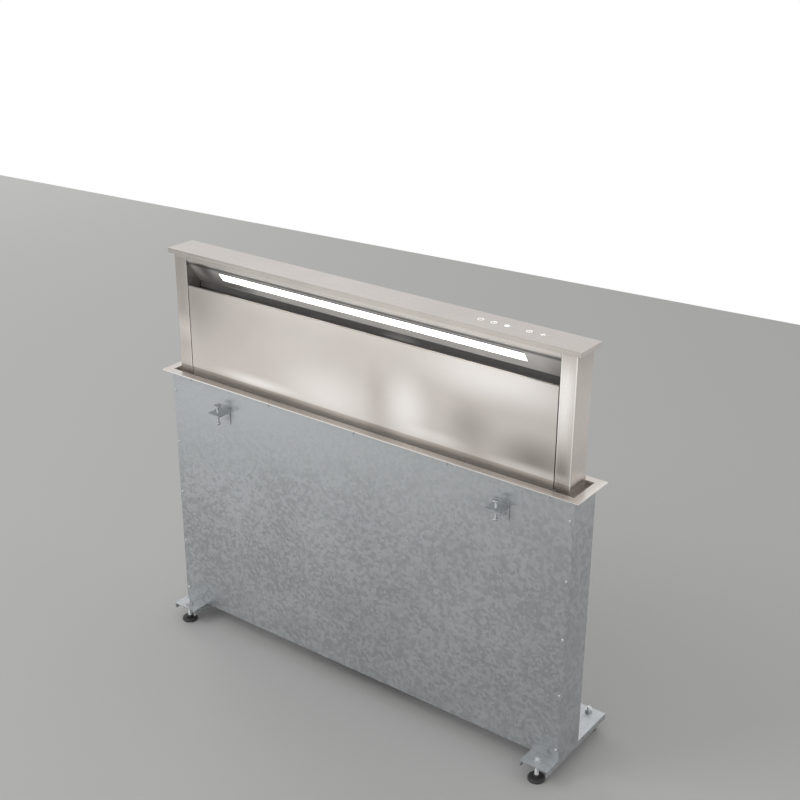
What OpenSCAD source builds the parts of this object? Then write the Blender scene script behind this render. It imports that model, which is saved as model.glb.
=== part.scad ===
// Downdraft extractor that rises out of a worktop behind a hob.
// Origin: centre of the cut-out, on the worktop surface. +Z up, -Y towards the hob, X along the width.
// The column is drawn raised, with its front panel closed and its filters seated.

/* [Column] */
// Width of the rising column over its two posts
column_w = 1106; // [900:1:1300]
// Depth of the rising column, front to back
column_d = 62; // [60:1:72]
// Width of each end post
post_w = 38; // [36:1:50]
// Wall of the end posts
post_t = 1.5; // [1:0.1:2]
// Sheet of the panels, rails and baffle
sheet_t = 1.2; // [0.8:0.1:1.5]
// Height that the cap stands above the flange, which is also the travel
lift_h = 312; // [290:1:330]
// Length of column that stays below the worktop when it is raised
tail_h = 110; // [108:1:140]

/* [Cap] */
// Overhang of the cap past each post
cap_over_x = 12; // [8:0.5:16]
// Overhang of the cap past the column's front and back
cap_over_y = 9.5; // [6:0.5:12]
// Sheet of the cap
cap_t = 1.5; // [1:0.1:2]
// Height of the cap's folded edge
lip_h = 11; // [8:0.5:14]
// Gap between the cap's ends and the flange when lowered
cap_gap_x = 3.5; // [1.5:0.5:6]
// Gap in front of and behind the cap when lowered
cap_gap_y = 1.5; // [0.5:0.5:3]

/* [Flange] */
// Width of the flange strip at each end
strip_x = 21.5; // [16:0.5:30]
// Width of the flange strip at the front and the back
strip_y = 19.5; // [16:0.5:30]
// Thickness of the flange plate
flange_t = 3; // [2:0.5:4]
// Thickness of the gasket under the flange
gasket_t = 1; // [0.5:0.5:2]
// Wall of the skirt that hangs into the cut-out
skirt_t = 1.5; // [1:0.1:2]
// Depth of the skirt below the worktop surface
skirt_h = 22; // [21:1:30]

/* [Intake and light] */
// Height of the header's lower edge below the cap's top
header_drop = 24; // [20:1:28]
// Height of the front panel's top edge below the cap's top
slot_drop = 86; // [80:1:100]
// Depth of the intake slot, from the panel's face to the baffle
slot_d = 43.5; // [40:0.5:45]
// Distance of the lit strip from each post
led_inset = 93; // [60:1:200]
// Height of the lit strip along the baffle
led_h = 32; // [24:1:36]
// Distance of the lit strip from the baffle's upper edge
led_drop = 16; // [14:1:20]
// Thickness of the light diffuser
diffuser_t = 3; // [2:0.5:4]

/* [Front panel] */
// Gap between the panel and each post
panel_gap = 2; // [1:0.5:3]
// Depth of the panel's folded edges
panel_return = 5; // [4:0.5:5.5]
// Height of the panel's lower edge below the worktop surface
panel_drop = 8; // [7:0.5:9]
// Radius of the pins that the panel tilts on
pivot_r = 2.5; // [2:0.1:2.8]

/* [Grease filters] */
// Number of filters side by side
filter_n = 3; // [2:1:4]
// Thickness of a filter cassette
filter_t = 10; // [8:0.5:11]
// Travel of a filter as it is lifted out of its lower channel
filter_lift = 12; // [10:1:14]
// Width of a cassette's border
filter_border = 12; // [10:1:20]
// Distance between the filter's baffle slats
slat_pitch = 20; // [16:1:30]

/* [Housing] */
// Height of the housing below the worktop
housing_h = 650; // [640:1:700]
// Sheet of the housing
housing_t = 1.2; // [1:0.1:1.5]
// Width of the housing's folded edges
fold_w = 14; // [12:1:18]
// Height of the housing above the floor
foot_h = 45; // [35:1:80]

/* [Lift drive] */
// Diameter of each lead screw
screw_d = 12; // [10:1:16]
// Diameter of the shaft that joins the two gearboxes
shaft_d = 8; // [6:1:10]
// Width and depth of each screw gearbox
gearbox_w = 44; // [36:1:50]
// Height of each screw gearbox
gearbox_h = 40; // [36:1:44]
// Place of the lift motor along the width
lift_motor_x = -300; // [-400:1:-220]
// Diameter of the lift motor
lift_motor_d = 42; // [36:1:50]
// Length of the lift motor
lift_motor_h = 90; // [70:1:100]

/* [Blower] */
// Width of the blower box
blower_w = 320; // [310:1:360]
// Depth of the blower box
blower_d = 180; // [178:1:220]
// Height of the blower box
blower_h = 310; // [300:1:340]
// Radius of the impeller
impeller_r = 80; // [74:1:82]
// Width of the impeller along its shaft
impeller_w = 90; // [80:1:92]
// Number of impeller blades
blade_n = 36; // [24:1:44]
// Radius of the blower's inlet
inlet_r = 62; // [56:1:64]

/* [Duct] */
// Outer diameter of the duct spigot
spigot_d = 150; // [140:1:150]
// Length of the duct spigot
spigot_l = 80; // [60:1:110]
// Wall of the duct spigot
spigot_t = 1.6; // [1.2:0.1:2.5]

/* [Hidden] */
$fn = 64;

// Clearances and the overrun that every cut uses
fit = 0.2;
run = 0.05;
slide_gap = 0.3;
over = 1;

// Colours
steel = [0.80, 0.78, 0.75];
dark_steel = [0.30, 0.30, 0.29];
zinc = [0.68, 0.70, 0.72];
black = [0.10, 0.10, 0.10];
rubber = [0.14, 0.14, 0.15];
white = [0.95, 0.95, 0.93];
board_green = [0.10, 0.30, 0.18];
brass = [0.72, 0.60, 0.34];

// Cap, opening, flange and housing, each worked out from the one inside it
cap_w = column_w + 2 * cap_over_x;
cap_d = column_d + 2 * cap_over_y;
opening_w = cap_w + 2 * cap_gap_x;
opening_d = cap_d + 2 * cap_gap_y;
flange_w = opening_w + 2 * strip_x;
flange_d = opening_d + 2 * strip_y;
skirt_w = opening_w + 2 * skirt_t;
skirt_d = opening_d + 2 * skirt_t;
inner_w = skirt_w + 2 * fit;
inner_d = skirt_d + 2 * fit;
housing_w = inner_w + 2 * housing_t;
housing_d = inner_d + 2 * housing_t;
cutout_gap = 3;
cutout_w = housing_w + 2 * cutout_gap;
cutout_d = housing_d + 2 * cutout_gap;
gasket_inset = 2;

// Heights, from the worktop surface
flange_top = gasket_t + flange_t;
cap_top = flange_top + lift_h;
cap_under = cap_top - cap_t;
header_z = cap_top - header_drop;
slot_z = cap_top - slot_drop;
housing_drop = 2;
base_z = -housing_h;
floor_z = base_z - foot_h;
tail_z = -tail_h;

// Column faces
front_y = -column_d / 2;
back_y = column_d / 2;
clear_x = column_w / 2 - post_w;
screw_x = column_w / 2 - post_w / 2;

// Ledge under the flange and the lip that wipes the column
ledge_drop = 16.5;
ledge_t = 1.5;
ledge_gap = 3;
seal_t = 2;
seal_w = 8;
seal_gap = 0.5;

// Baffle: a slope from the header's lower edge to the back of the intake slot
baffle_y = front_y + slot_d;
baffle_rise = header_z - slot_z;
baffle_l = sqrt(slot_d * slot_d + baffle_rise * baffle_rise);
baffle_tilt = atan2(slot_d, baffle_rise);
baffle_start = 1.5 * sheet_t;
baffle_end = baffle_l - 1.6 * sheet_t;
baffle_tab = 14;
led_w = 2 * (clear_x - led_inset);
led_z = baffle_l - led_drop - led_h;
diffuser_rim = 3;
diffuser_d = 8;
led_board_t = 1.6;
led_chip = 3;
led_chip_n = 40;

// Filters: they lean from the foot of the panel to the baffle's lower edge
filter_foot_in = 9;
filter_foot_y = front_y + filter_foot_in;
filter_foot_z = -6;
filter_slope_l = sqrt(pow(baffle_y - filter_foot_y, 2) + pow(slot_z - filter_foot_z, 2));
filter_tilt = atan2(baffle_y - filter_foot_y, slot_z - filter_foot_z);
filter_gap = 0.4;
filter_y = sheet_t + filter_gap;
filter_side = 7;
filter_space = 2;
filter_drop = 9.5;
filter_h = filter_slope_l - filter_drop;
filter_span = 2 * (clear_x - filter_side);
filter_w = (filter_span - filter_space * filter_n) / filter_n;
channel_d = 2 * sheet_t + 2 * filter_gap + filter_t;
channel_low_h = 8;
channel_hold = 4;
channel_seat = 0.3;
slat_w = 12;
slat_t = 1.5;
handle_w = 60;
handle_d = 8;
handle_r = 2;
handle_rise = 60;

// Panel pivots
pivot_in = 4;
pivot_rise = 5;
pivot_y = front_y + pivot_in;
pivot_z = -panel_drop + pivot_rise;
pivot_l = 9;
ear_t = 3;
ear_d = 7.5;
ear_h = 12;
catch_w = 12;
catch_h = 20;
catch_drop = 30;

// Sill that closes the column's front below the panel
sill_gap = 4;
sill_z = -panel_drop - sill_gap;
sill_shelf_d = 25;
sill_lip = 8;

// Guide rails and shoes
rail_t = 8;
rail_w = 20;
rail_top = -30;
rail_spare = 20;
rail_face = inner_w / 2 - rail_t;
shoe_grip = 5;
shoe_t = rail_face - column_w / 2 + shoe_grip;
shoe_w = 34;
shoe_h = 30;
shoe_pitch = 48;

// Lead screws, nuts and shaft
screw_r = screw_d / 2;
shaft_r = shaft_d / 2;
shaft_z = base_z + housing_t + gearbox_h / 2;
bore_depth = 14;
journal_l = 12;
screw_top = -40;
collar_t = 4;
collar_r_extra = 3;
gear_unit_w = 70;
gear_unit_d = 56;
gear_unit_h = 60;
gear_foot_w = 100;
gear_foot_t = 4;
nut_h = 30;
sensor_w = 10;
sensor_d = 12;
sensor_h = 28;

// Worktop clamps
clamp_share = 0.35;
clamp_w = 40;
clamp_t = 2;
clamp_top = -50;
clamp_h = 45;
clamp_reach = 38;
clamp_arm_z = -64;
clamp_screw_r = 3;
clamp_screw_out = 23;
clamp_screw_top = -42;
clamp_screw_l = 50;
clamp_pad_r = 9;
clamp_pad_t = 4;
clamp_head_r = 6;
clamp_head_t = 6;

// Floor brackets and feet
bracket_w = 70;
bracket_t = 3;
bracket_lip = 15;
bracket_front = 47;
bracket_back = 127;
foot_inset = 17;
foot_r = 5;
foot_pad_r = 20;
foot_pad_t = 8;
foot_above = 14;
nut_t = 8;
nut_r = 9;

// Blower box and what it holds
box_y0 = housing_d / 2 + fit;
box_y1 = box_y0 + blower_d;
box_z0 = base_z;
box_z1 = box_z0 + blower_h;
box_t = housing_t;
scroll_in = 30;
scroll_y0 = box_y0 + scroll_in;
scroll_d = 110;
scroll_y1 = scroll_y0 + scroll_d;
scroll_rise = 140;
scroll_z = box_z0 + scroll_rise;
scroll_gap = 8;
scroll_growth = 47;
scroll_start = 45;
scroll_sweep = 315;
scroll_steps = 35;
scroll_r0 = impeller_r + scroll_gap;
scroll_top = scroll_r0 + scroll_growth;
scroll_mouth = 90;
scroll_x1 = blower_w / 2 - box_t;
ring_t = 1.5;
ring_flange = 14;
ring_gap = 0.3;
impeller_in = 5;
impeller_y0 = scroll_y0 + impeller_in;
blade_l = 13;
blade_t = 1;
blade_pitch = 30;
blade_inset = 1.5;
rim_w = 16;
plate_t = 1.5;
cup_r = 51;
cup_y = 30;
hub_r = 8;
hub_l = 20;
motor_shaft_r = 4;
motor_shaft_l = 30;
motor_r = 46;
motor_gap = 6;
motor_out = 20;
motor_plate_r = 62;
motor_plate_t = 2;

// Duct spigot and its two flaps
spigot_r = spigot_d / 2;
spigot_bore = spigot_r - spigot_t;
spigot_x = blower_w / 2;
spigot_y = scroll_y0 + scroll_d / 2;
spigot_z = scroll_z + scroll_top - scroll_mouth / 2;
spigot_plate = 160;
spigot_plate_h = 154;
spigot_plate_t = 1.5;
flap_in = 24;
flap_x = spigot_x + flap_in;
flap_pin_r = 2.5;
flap_gap = 1.4;
flap_r = spigot_bore - flap_gap;
flap_t = 1.2;
knuckle_r = 4;
knuckle_gap = 0.5;
knuckle_share = 0.35;
flap_reach_share = 0.9;

// Control box, on the back of the housing beside the blower
control_w = 200;
control_gap = 70;
control_x0 = -blower_w / 2 - control_gap - control_w;
control_d = 55;
control_h = 130;
control_rise = 90;
control_z0 = base_z + control_rise;
board_t = 1.6;
board_edge = 15;
board_stand = 8;
board_stand_r = 3;
// Transformer, four relays and the terminal strip: left, right, bottom, top, and height off the board
board_part_shares = [
    [0.06, 0.30, 0.45, 0.90, 0.55],
    [0.40, 0.49, 0.60, 0.85, 0.32],
    [0.52, 0.61, 0.60, 0.85, 0.32],
    [0.64, 0.73, 0.60, 0.85, 0.32],
    [0.76, 0.85, 0.60, 0.85, 0.32],
    [0.40, 0.90, 0.06, 0.22, 0.25]
];
gland_r = 9;
gland_bore = 4.5;
gland_out = 18;
gland_in = 8;
gland_nut_r = 13;
gland_nut_t = 5;
gland_inset = 30;

// Screws
m4_r = 2;
m4_head_r = 3.8;
m4_head_t = 2.2;
m4_hole = m4_r + run;
m4_grip = 4;

// A sheet or block between two corners
module slab(x0, x1, y0, y1, z0, z1) {
    translate([x0, y0, z0]) cube([x1 - x0, y1 - y0, z1 - z0]);
}

// Round bars along each axis
module rod_x(x0, x1, y, z, r) {
    translate([x0, y, z]) rotate([0, 90, 0]) cylinder(r = r, h = x1 - x0);
}
module rod_y(y0, y1, x, z, r) {
    translate([x, y0, z]) rotate([-90, 0, 0]) cylinder(r = r, h = y1 - y0);
}
module rod_z(z0, z1, x, y, r) {
    translate([x, y, z0]) cylinder(r = r, h = z1 - z0);
}

// A flat frame seen from above, with a rectangular opening
module flat_frame(w, d, open_w, open_d, z0, z1) {
    difference() {
        slab(-w / 2, w / 2, -d / 2, d / 2, z0, z1);
        slab(-open_w / 2, open_w / 2, -open_d / 2, open_d / 2, z0 - over, z1 + over);
    }
}

// The same piece at both ends, or at the front and the back
module both_ends() {
    children();
    mirror([1, 0, 0]) children();
}
module front_and_back() {
    children();
    mirror([0, 1, 0]) children();
}

// A folded box that is open to the back, with an inward fold for its cover
module back_tray(x0, x1, y0, y1, z0, z1, t, fold) {
    difference() {
        slab(x0, x1, y0, y1, z0, z1);
        slab(x0 + t, x1 - t, y0 + t, y1 - t, z0 + t, z1 - t);
        slab(x0 + fold, x1 - fold, y1 - t - over, y1 + over, z0 + fold, z1 - fold);
    }
}

// Places of the housing's screws
end_screw_x = housing_w / 2 - fold_w / 2;
end_screw_n = 5;
end_screw_z = [for (i = [0:end_screw_n - 1])
    base_z + fold_w * 2 + i * (housing_h - fold_w * 4 - skirt_h) / (end_screw_n - 1)];
top_screw_share = [-0.9, -0.45, 0, 0.45, 0.9];
top_screw_z = -skirt_h / 2;
box_screw_x = blower_w / 2 - fold_w / 2;
box_screw_z = [box_z0 + fold_w / 2, (box_z0 + box_z1) / 2, box_z1 - fold_w / 2];
control_screw_x = [control_x0 + fold_w / 2, control_x0 + control_w - fold_w / 2];
control_screw_z = [control_z0 + fold_w / 2, control_z0 + control_h - fold_w / 2];

module housing_screw_holes() {
    front_and_back() {
        both_ends()
            for (z = end_screw_z)
                rod_y(-housing_d / 2 - over, -inner_d / 2 + housing_t + over, end_screw_x, z, m4_hole);
        for (s = top_screw_share)
            rod_y(-housing_d / 2 - over, -opening_d / 2 + over, s * opening_w / 2, top_screw_z, m4_hole);
    }
}
module box_screw_holes() {
    both_ends()
        for (z = box_screw_z)
            rod_y(box_y1 - box_t - over, box_y1 + box_t + over, box_screw_x, z, m4_hole);
}
module control_screw_holes() {
    for (x = control_screw_x)
        for (z = control_screw_z)
            rod_y(box_y0 + control_d - box_t - over, box_y0 + control_d + box_t + over, x, z, m4_hole);
}

// A pan-head screw along +Y, its head's underside at y
module screw_y(x, y, z, grip) {
    rod_y(y - m4_head_t, y, x, z, m4_head_r);
    rod_y(y - run, y + grip, x, z, m4_r);
}

// Flange, gasket, ledge and seal
module worktop_flange() {
    color(steel) difference() {
        union() {
            flat_frame(flange_w, flange_d, opening_w, opening_d, gasket_t, flange_top);
            flat_frame(skirt_w, skirt_d, opening_w, opening_d, -skirt_h, flange_top);
        }
        housing_screw_holes();
    }
}
module flange_gasket() {
    color(rubber) flat_frame(flange_w - 2 * gasket_inset, flange_d - 2 * gasket_inset,
        cutout_w, cutout_d, 0, gasket_t);
}
module guide_frame() {
    color(dark_steel) flat_frame(opening_w - 2 * fit, opening_d - 2 * fit,
        column_w + 2 * ledge_gap, column_d + 2 * ledge_gap, -ledge_drop - ledge_t, -ledge_drop);
}
module column_seal() {
    color(rubber) flat_frame(column_w + 2 * seal_w, column_d + 2 * seal_w,
        column_w + 2 * seal_gap, column_d + 2 * seal_gap,
        -ledge_drop - ledge_t - seal_t, -ledge_drop - ledge_t);
}

// Housing sheets
module housing_front() {
    color(zinc) difference() {
        slab(-housing_w / 2, housing_w / 2, -housing_d / 2, -inner_d / 2, base_z, -housing_drop);
        housing_screw_holes();
    }
}
module housing_rear() {
    color(zinc) difference() {
        slab(-housing_w / 2, housing_w / 2, inner_d / 2, housing_d / 2, base_z, -housing_drop);
        housing_screw_holes();
        rod_y(inner_d / 2 - over, housing_d / 2 + over, 0, scroll_z, inlet_r + ring_t + fit);
    }
}
module end_sheet() {
    fold_top = -skirt_h - housing_drop;
    color(zinc) difference() {
        union() {
            slab(inner_w / 2, housing_w / 2, -inner_d / 2, inner_d / 2, base_z, -housing_drop);
            front_and_back()
                slab(housing_w / 2 - fold_w, housing_w / 2, -inner_d / 2, -inner_d / 2 + housing_t,
                    base_z, fold_top);
        }
        housing_screw_holes();
    }
}
module housing_left_end() {
    mirror([1, 0, 0]) end_sheet();
}
module housing_right_end() {
    end_sheet();
}
module housing_base() {
    base_x = housing_w / 2 - fold_w - fit;
    color(zinc) union() {
        slab(-inner_w / 2 + fit, inner_w / 2 - fit, -inner_d / 2 + housing_t + fit,
            inner_d / 2 - housing_t - fit, base_z, base_z + housing_t);
        front_and_back()
            slab(-base_x, base_x, -inner_d / 2 + run, -inner_d / 2 + housing_t + fit,
                base_z, base_z + housing_t);
        front_and_back()
            slab(-base_x, base_x, -inner_d / 2 + run, -inner_d / 2 + run + housing_t,
                base_z, base_z + fold_w);
    }
}

// Guide rails on the end sheets
module guide_rail() {
    color(zinc) slab(rail_face, inner_w / 2, -rail_w / 2, rail_w / 2,
        tail_z - lift_h - rail_spare, rail_top);
}
module guide_rail_left() {
    mirror([1, 0, 0]) guide_rail();
}
module guide_rail_right() {
    guide_rail();
}
module slide_shoes() {
    color(white) both_ends()
        for (z = [tail_z, tail_z + shoe_pitch])
            difference() {
                slab(column_w / 2, column_w / 2 + shoe_t, -shoe_w / 2, shoe_w / 2, z, z + shoe_h);
                slab(rail_face - slide_gap, inner_w / 2, -rail_w / 2 - slide_gap,
                    rail_w / 2 + slide_gap, z - over, z + shoe_h + over);
            }
}

// Lift drive
module screw_gearboxes() {
    top = base_z + housing_t + gearbox_h;
    color(dark_steel) both_ends()
        difference() {
            slab(screw_x - gearbox_w / 2, screw_x + gearbox_w / 2 - housing_t,
                -gearbox_w / 2, gearbox_w / 2, base_z + housing_t, top);
            rod_z(top - bore_depth, top + over, screw_x, 0, screw_r + run);
            rod_x(screw_x - gearbox_w / 2 - over, screw_x - gearbox_w / 2 + bore_depth,
                0, shaft_z, shaft_r + run);
        }
}
module lead_screw() {
    top = base_z + housing_t + gearbox_h;
    color(steel) union() {
        rod_z(top - journal_l, screw_top, screw_x, 0, screw_r);
        rod_z(top + slide_gap, top + slide_gap + collar_t, screw_x, 0, screw_r + collar_r_extra);
    }
}
module lead_screw_left() {
    mirror([1, 0, 0]) lead_screw();
}
module lead_screw_right() {
    lead_screw();
}
module screw_nuts() {
    color(brass) both_ends()
        difference() {
            slab(column_w / 2 - post_w + post_t + fit, column_w / 2 - post_t - fit,
                front_y + post_t + fit, back_y - post_t - fit, tail_z, tail_z + nut_h);
            rod_z(tail_z - over, tail_z + nut_h + over, screw_x, 0, screw_r + run);
        }
}
module sync_shaft() {
    end_x = screw_x - gearbox_w / 2 + journal_l;
    color(steel) union() {
        rod_x(-end_x, end_x, 0, shaft_z, shaft_r);
        for (s = [-1, 1])
            translate([lift_motor_x, 0, 0])
                rod_x(s * (gear_unit_w / 2 + slide_gap + collar_t / 2) - collar_t / 2,
                    s * (gear_unit_w / 2 + slide_gap + collar_t / 2) + collar_t / 2,
                    0, shaft_z, shaft_r + collar_r_extra);
    }
}
module lift_gear_unit() {
    z0 = base_z + housing_t;
    color(dark_steel) translate([lift_motor_x, 0, 0]) difference() {
        union() {
            slab(-gear_unit_w / 2, gear_unit_w / 2, -gear_unit_d / 2, gear_unit_d / 2, z0, z0 + gear_unit_h);
            slab(-gear_foot_w / 2, gear_foot_w / 2, -gear_unit_d / 2, gear_unit_d / 2, z0, z0 + gear_foot_t);
        }
        rod_x(-gear_foot_w, gear_foot_w, 0, shaft_z, shaft_r + run);
    }
}
module lift_motor() {
    z0 = base_z + housing_t + gear_unit_h;
    cap_h = lift_motor_d / 6;
    color(black) translate([lift_motor_x, 0, 0]) union() {
        rod_z(z0, z0 + lift_motor_h, 0, 0, lift_motor_d / 2);
        rod_z(z0 + lift_motor_h - run, z0 + lift_motor_h + cap_h, 0, 0, lift_motor_d / 3);
    }
}
module limit_sensors() {
    y0 = shoe_w / 2 + collar_t;
    color(black)
        for (z = [rail_top - sensor_h, tail_z - lift_h])
            slab(-inner_w / 2, -inner_w / 2 + sensor_w, y0, y0 + sensor_d, z, z + sensor_h);
}

// Clamps that pull the flange down onto the worktop
module at_clamps() {
    both_ends() front_and_back() translate([clamp_share * housing_w, -housing_d / 2, 0]) children();
}
module worktop_clamps() {
    color(zinc) at_clamps()
        difference() {
            union() {
                slab(-clamp_w / 2, clamp_w / 2, -clamp_t, 0, clamp_top - clamp_h, clamp_top);
                slab(-clamp_w / 2, clamp_w / 2, -clamp_reach, -clamp_t + run,
                    clamp_arm_z, clamp_arm_z + clamp_t);
            }
            rod_z(clamp_arm_z - over, clamp_arm_z + clamp_t + over, 0, -clamp_screw_out,
                clamp_screw_r + run);
        }
}
module clamp_screws() {
    color(steel) at_clamps() translate([0, -clamp_screw_out, 0]) union() {
        rod_z(clamp_screw_top - clamp_screw_l, clamp_screw_top - run, 0, 0, clamp_screw_r);
        rod_z(clamp_screw_top - clamp_pad_t, clamp_screw_top, 0, 0, clamp_pad_r);
        translate([0, 0, clamp_screw_top - clamp_screw_l])
            cylinder(r = clamp_head_r, h = clamp_head_t, $fn = 6);
    }
}

// Floor brackets, feet and their nuts
module floor_brackets() {
    x0 = housing_w / 2 - bracket_w;
    x1 = housing_w / 2;
    y0 = -housing_d / 2 - bracket_front;
    y1 = housing_d / 2 + bracket_back;
    color(zinc) both_ends()
        difference() {
            union() {
                slab(x0, x1, y0, y1, base_z - bracket_t, base_z);
                for (x = [x0, x1 - bracket_t])
                    slab(x, x + bracket_t, y0, y1, base_z - bracket_lip, base_z - run);
            }
            for (y = [y0 + foot_inset, y1 - foot_inset])
                rod_z(base_z - bracket_t - over, base_z + over, (x0 + x1) / 2, y, foot_r + run);
        }
}
module at_feet() {
    both_ends()
        for (y = [-housing_d / 2 - bracket_front + foot_inset, housing_d / 2 + bracket_back - foot_inset])
            translate([housing_w / 2 - bracket_w / 2, y, 0]) children();
}
module levelling_feet() {
    color(black) at_feet() union() {
        rod_z(floor_z, floor_z + foot_pad_t, 0, 0, foot_pad_r);
        rod_z(floor_z + foot_pad_t - run, base_z + foot_above, 0, 0, foot_r);
    }
}
module foot_nuts() {
    color(steel) at_feet()
        for (z = [base_z - bracket_t - nut_t, base_z])
            difference() {
                translate([0, 0, z]) cylinder(r = nut_r, h = nut_t, $fn = 6);
                rod_z(z - over, z + nut_t + over, 0, 0, foot_r + run);
            }
}

// Blower box, its cover, and the inlet between housing and scroll
module blower_box() {
    color(zinc) difference() {
        back_tray(-blower_w / 2, blower_w / 2, box_y0, box_y1, box_z0, box_z1, box_t, fold_w);
        rod_y(box_y0 - over, box_y0 + box_t + over, 0, scroll_z, inlet_r + ring_t + fit);
        rod_x(blower_w / 2 - box_t - over, blower_w / 2 + over, spigot_y, spigot_z, spigot_bore);
        box_screw_holes();
    }
}
module blower_cover() {
    color(zinc) difference() {
        slab(-blower_w / 2, blower_w / 2, box_y1, box_y1 + box_t, box_z0, box_z1);
        box_screw_holes();
    }
}
module inlet_ring() {
    y0 = inner_d / 2 - ring_t;
    color(dark_steel) difference() {
        union() {
            rod_y(y0, scroll_y0 + box_t, 0, scroll_z, inlet_r + ring_t);
            rod_y(y0, inner_d / 2, 0, scroll_z, inlet_r + ring_t + ring_flange);
        }
        rod_y(y0 - over, scroll_y0 + box_t + over, 0, scroll_z, inlet_r);
    }
}

// The scroll's outline: a spiral that grows at a steady rate, then a straight outlet
function scroll_points(wall) = concat(
    [for (i = [0:scroll_steps])
        let (share = i / scroll_steps,
             angle = scroll_start - share * scroll_sweep,
             radius = scroll_r0 + share * scroll_growth - wall)
        [radius * cos(angle), radius * sin(angle)]],
    [[scroll_x1 + (wall > 0 ? over : 0), scroll_top - wall],
     [scroll_x1 + (wall > 0 ? over : 0), scroll_top - scroll_mouth + wall]]
);
module scroll_prism(wall, y0, y1) {
    translate([0, y1, scroll_z]) rotate([90, 0, 0]) linear_extrude(y1 - y0) polygon(scroll_points(wall));
}
module scroll() {
    color(dark_steel) difference() {
        scroll_prism(0, scroll_y0, scroll_y1);
        scroll_prism(box_t, scroll_y0 + box_t, scroll_y1 - box_t);
        rod_y(scroll_y0 - over, scroll_y0 + box_t + over, 0, scroll_z, inlet_r + ring_t + ring_gap);
        rod_y(scroll_y1 - box_t - over, scroll_y1 + over, 0, scroll_z, motor_r + ring_gap);
    }
}
module impeller() {
    y1 = impeller_y0 + impeller_w;
    cup_y0 = impeller_y0 + cup_y;
    color(black) union() {
        difference() {
            rod_y(impeller_y0, impeller_y0 + plate_t, 0, scroll_z, impeller_r);
            rod_y(impeller_y0 - over, impeller_y0 + plate_t + over, 0, scroll_z, impeller_r - rim_w);
        }
        difference() {
            union() {
                rod_y(y1 - plate_t, y1, 0, scroll_z, impeller_r);
                rod_y(cup_y0, y1, 0, scroll_z, cup_r);
            }
            rod_y(cup_y0 + plate_t, y1 + over, 0, scroll_z, cup_r - plate_t);
        }
        rod_y(cup_y0 - hub_l / 2, cup_y0 + plate_t + over, 0, scroll_z, hub_r);
        rod_y(cup_y0, cup_y0 + plate_t + motor_shaft_l, 0, scroll_z, motor_shaft_r);
        for (i = [0:blade_n - 1])
            translate([0, impeller_y0, scroll_z]) rotate([0, i * 360 / blade_n, 0])
                translate([impeller_r - blade_inset, 0, 0]) rotate([0, blade_pitch, 0])
                    slab(-blade_l, 0, 0, impeller_w, -blade_t / 2, blade_t / 2);
    }
}
module blower_motor() {
    y0 = impeller_y0 + cup_y + plate_t + motor_gap;
    color(steel) difference() {
        union() {
            rod_y(y0, scroll_y1 + motor_out, 0, scroll_z, motor_r);
            rod_y(scroll_y1, scroll_y1 + motor_plate_t, 0, scroll_z, motor_plate_r);
        }
        rod_y(y0 - over, y0 + motor_shaft_l, 0, scroll_z, motor_shaft_r + run);
    }
}

// Duct spigot with its back-draught flaps
module outlet_spigot() {
    color(zinc) difference() {
        union() {
            slab(spigot_x, spigot_x + spigot_plate_t, spigot_y - spigot_plate / 2, spigot_y + spigot_plate / 2,
                spigot_z - spigot_plate_h / 2, spigot_z + spigot_plate_h / 2);
            rod_x(spigot_x, spigot_x + spigot_l, spigot_y, spigot_z, spigot_r);
        }
        rod_x(spigot_x - over, spigot_x + spigot_l + over, spigot_y, spigot_z, spigot_bore);
        rod_z(spigot_z - spigot_r - over, spigot_z + spigot_r + over, flap_x, spigot_y, flap_pin_r + run);
    }
}
module damper_pin() {
    color(steel) rod_z(spigot_z - spigot_r + fit, spigot_z + spigot_r - fit, flap_x, spigot_y, flap_pin_r);
}

// One half-disc flap on its knuckles. The knuckle spans are pairs of shares of the flap's radius.
module flap(side, spans) {
    reach = knuckle_r + knuckle_gap;
    color(white) translate([flap_x, spigot_y, spigot_z]) difference() {
        union() {
            intersection() {
                rod_x(-flap_t / 2, flap_t / 2, 0, 0, flap_r);
                slab(-flap_t, flap_t, side > 0 ? reach : -flap_r, side > 0 ? flap_r : -reach,
                    -flap_r, flap_r);
            }
            for (s = spans) {
                rod_z(s[0] * flap_r + knuckle_gap, s[1] * flap_r - knuckle_gap, 0, 0, knuckle_r);
                slab(-flap_t / 2, flap_t / 2, side > 0 ? 0 : -reach - over, side > 0 ? reach + over : 0,
                    s[0] * flap_r + knuckle_gap, s[1] * flap_r - knuckle_gap);
            }
        }
        rod_z(-flap_r - over, flap_r + over, 0, 0, flap_pin_r + run);
    }
}
module damper_flap_front() {
    flap(-1, [[-flap_reach_share, -knuckle_share], [knuckle_share, flap_reach_share]]);
}
module damper_flap_rear() {
    flap(1, [[-knuckle_share, knuckle_share]]);
}

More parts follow.
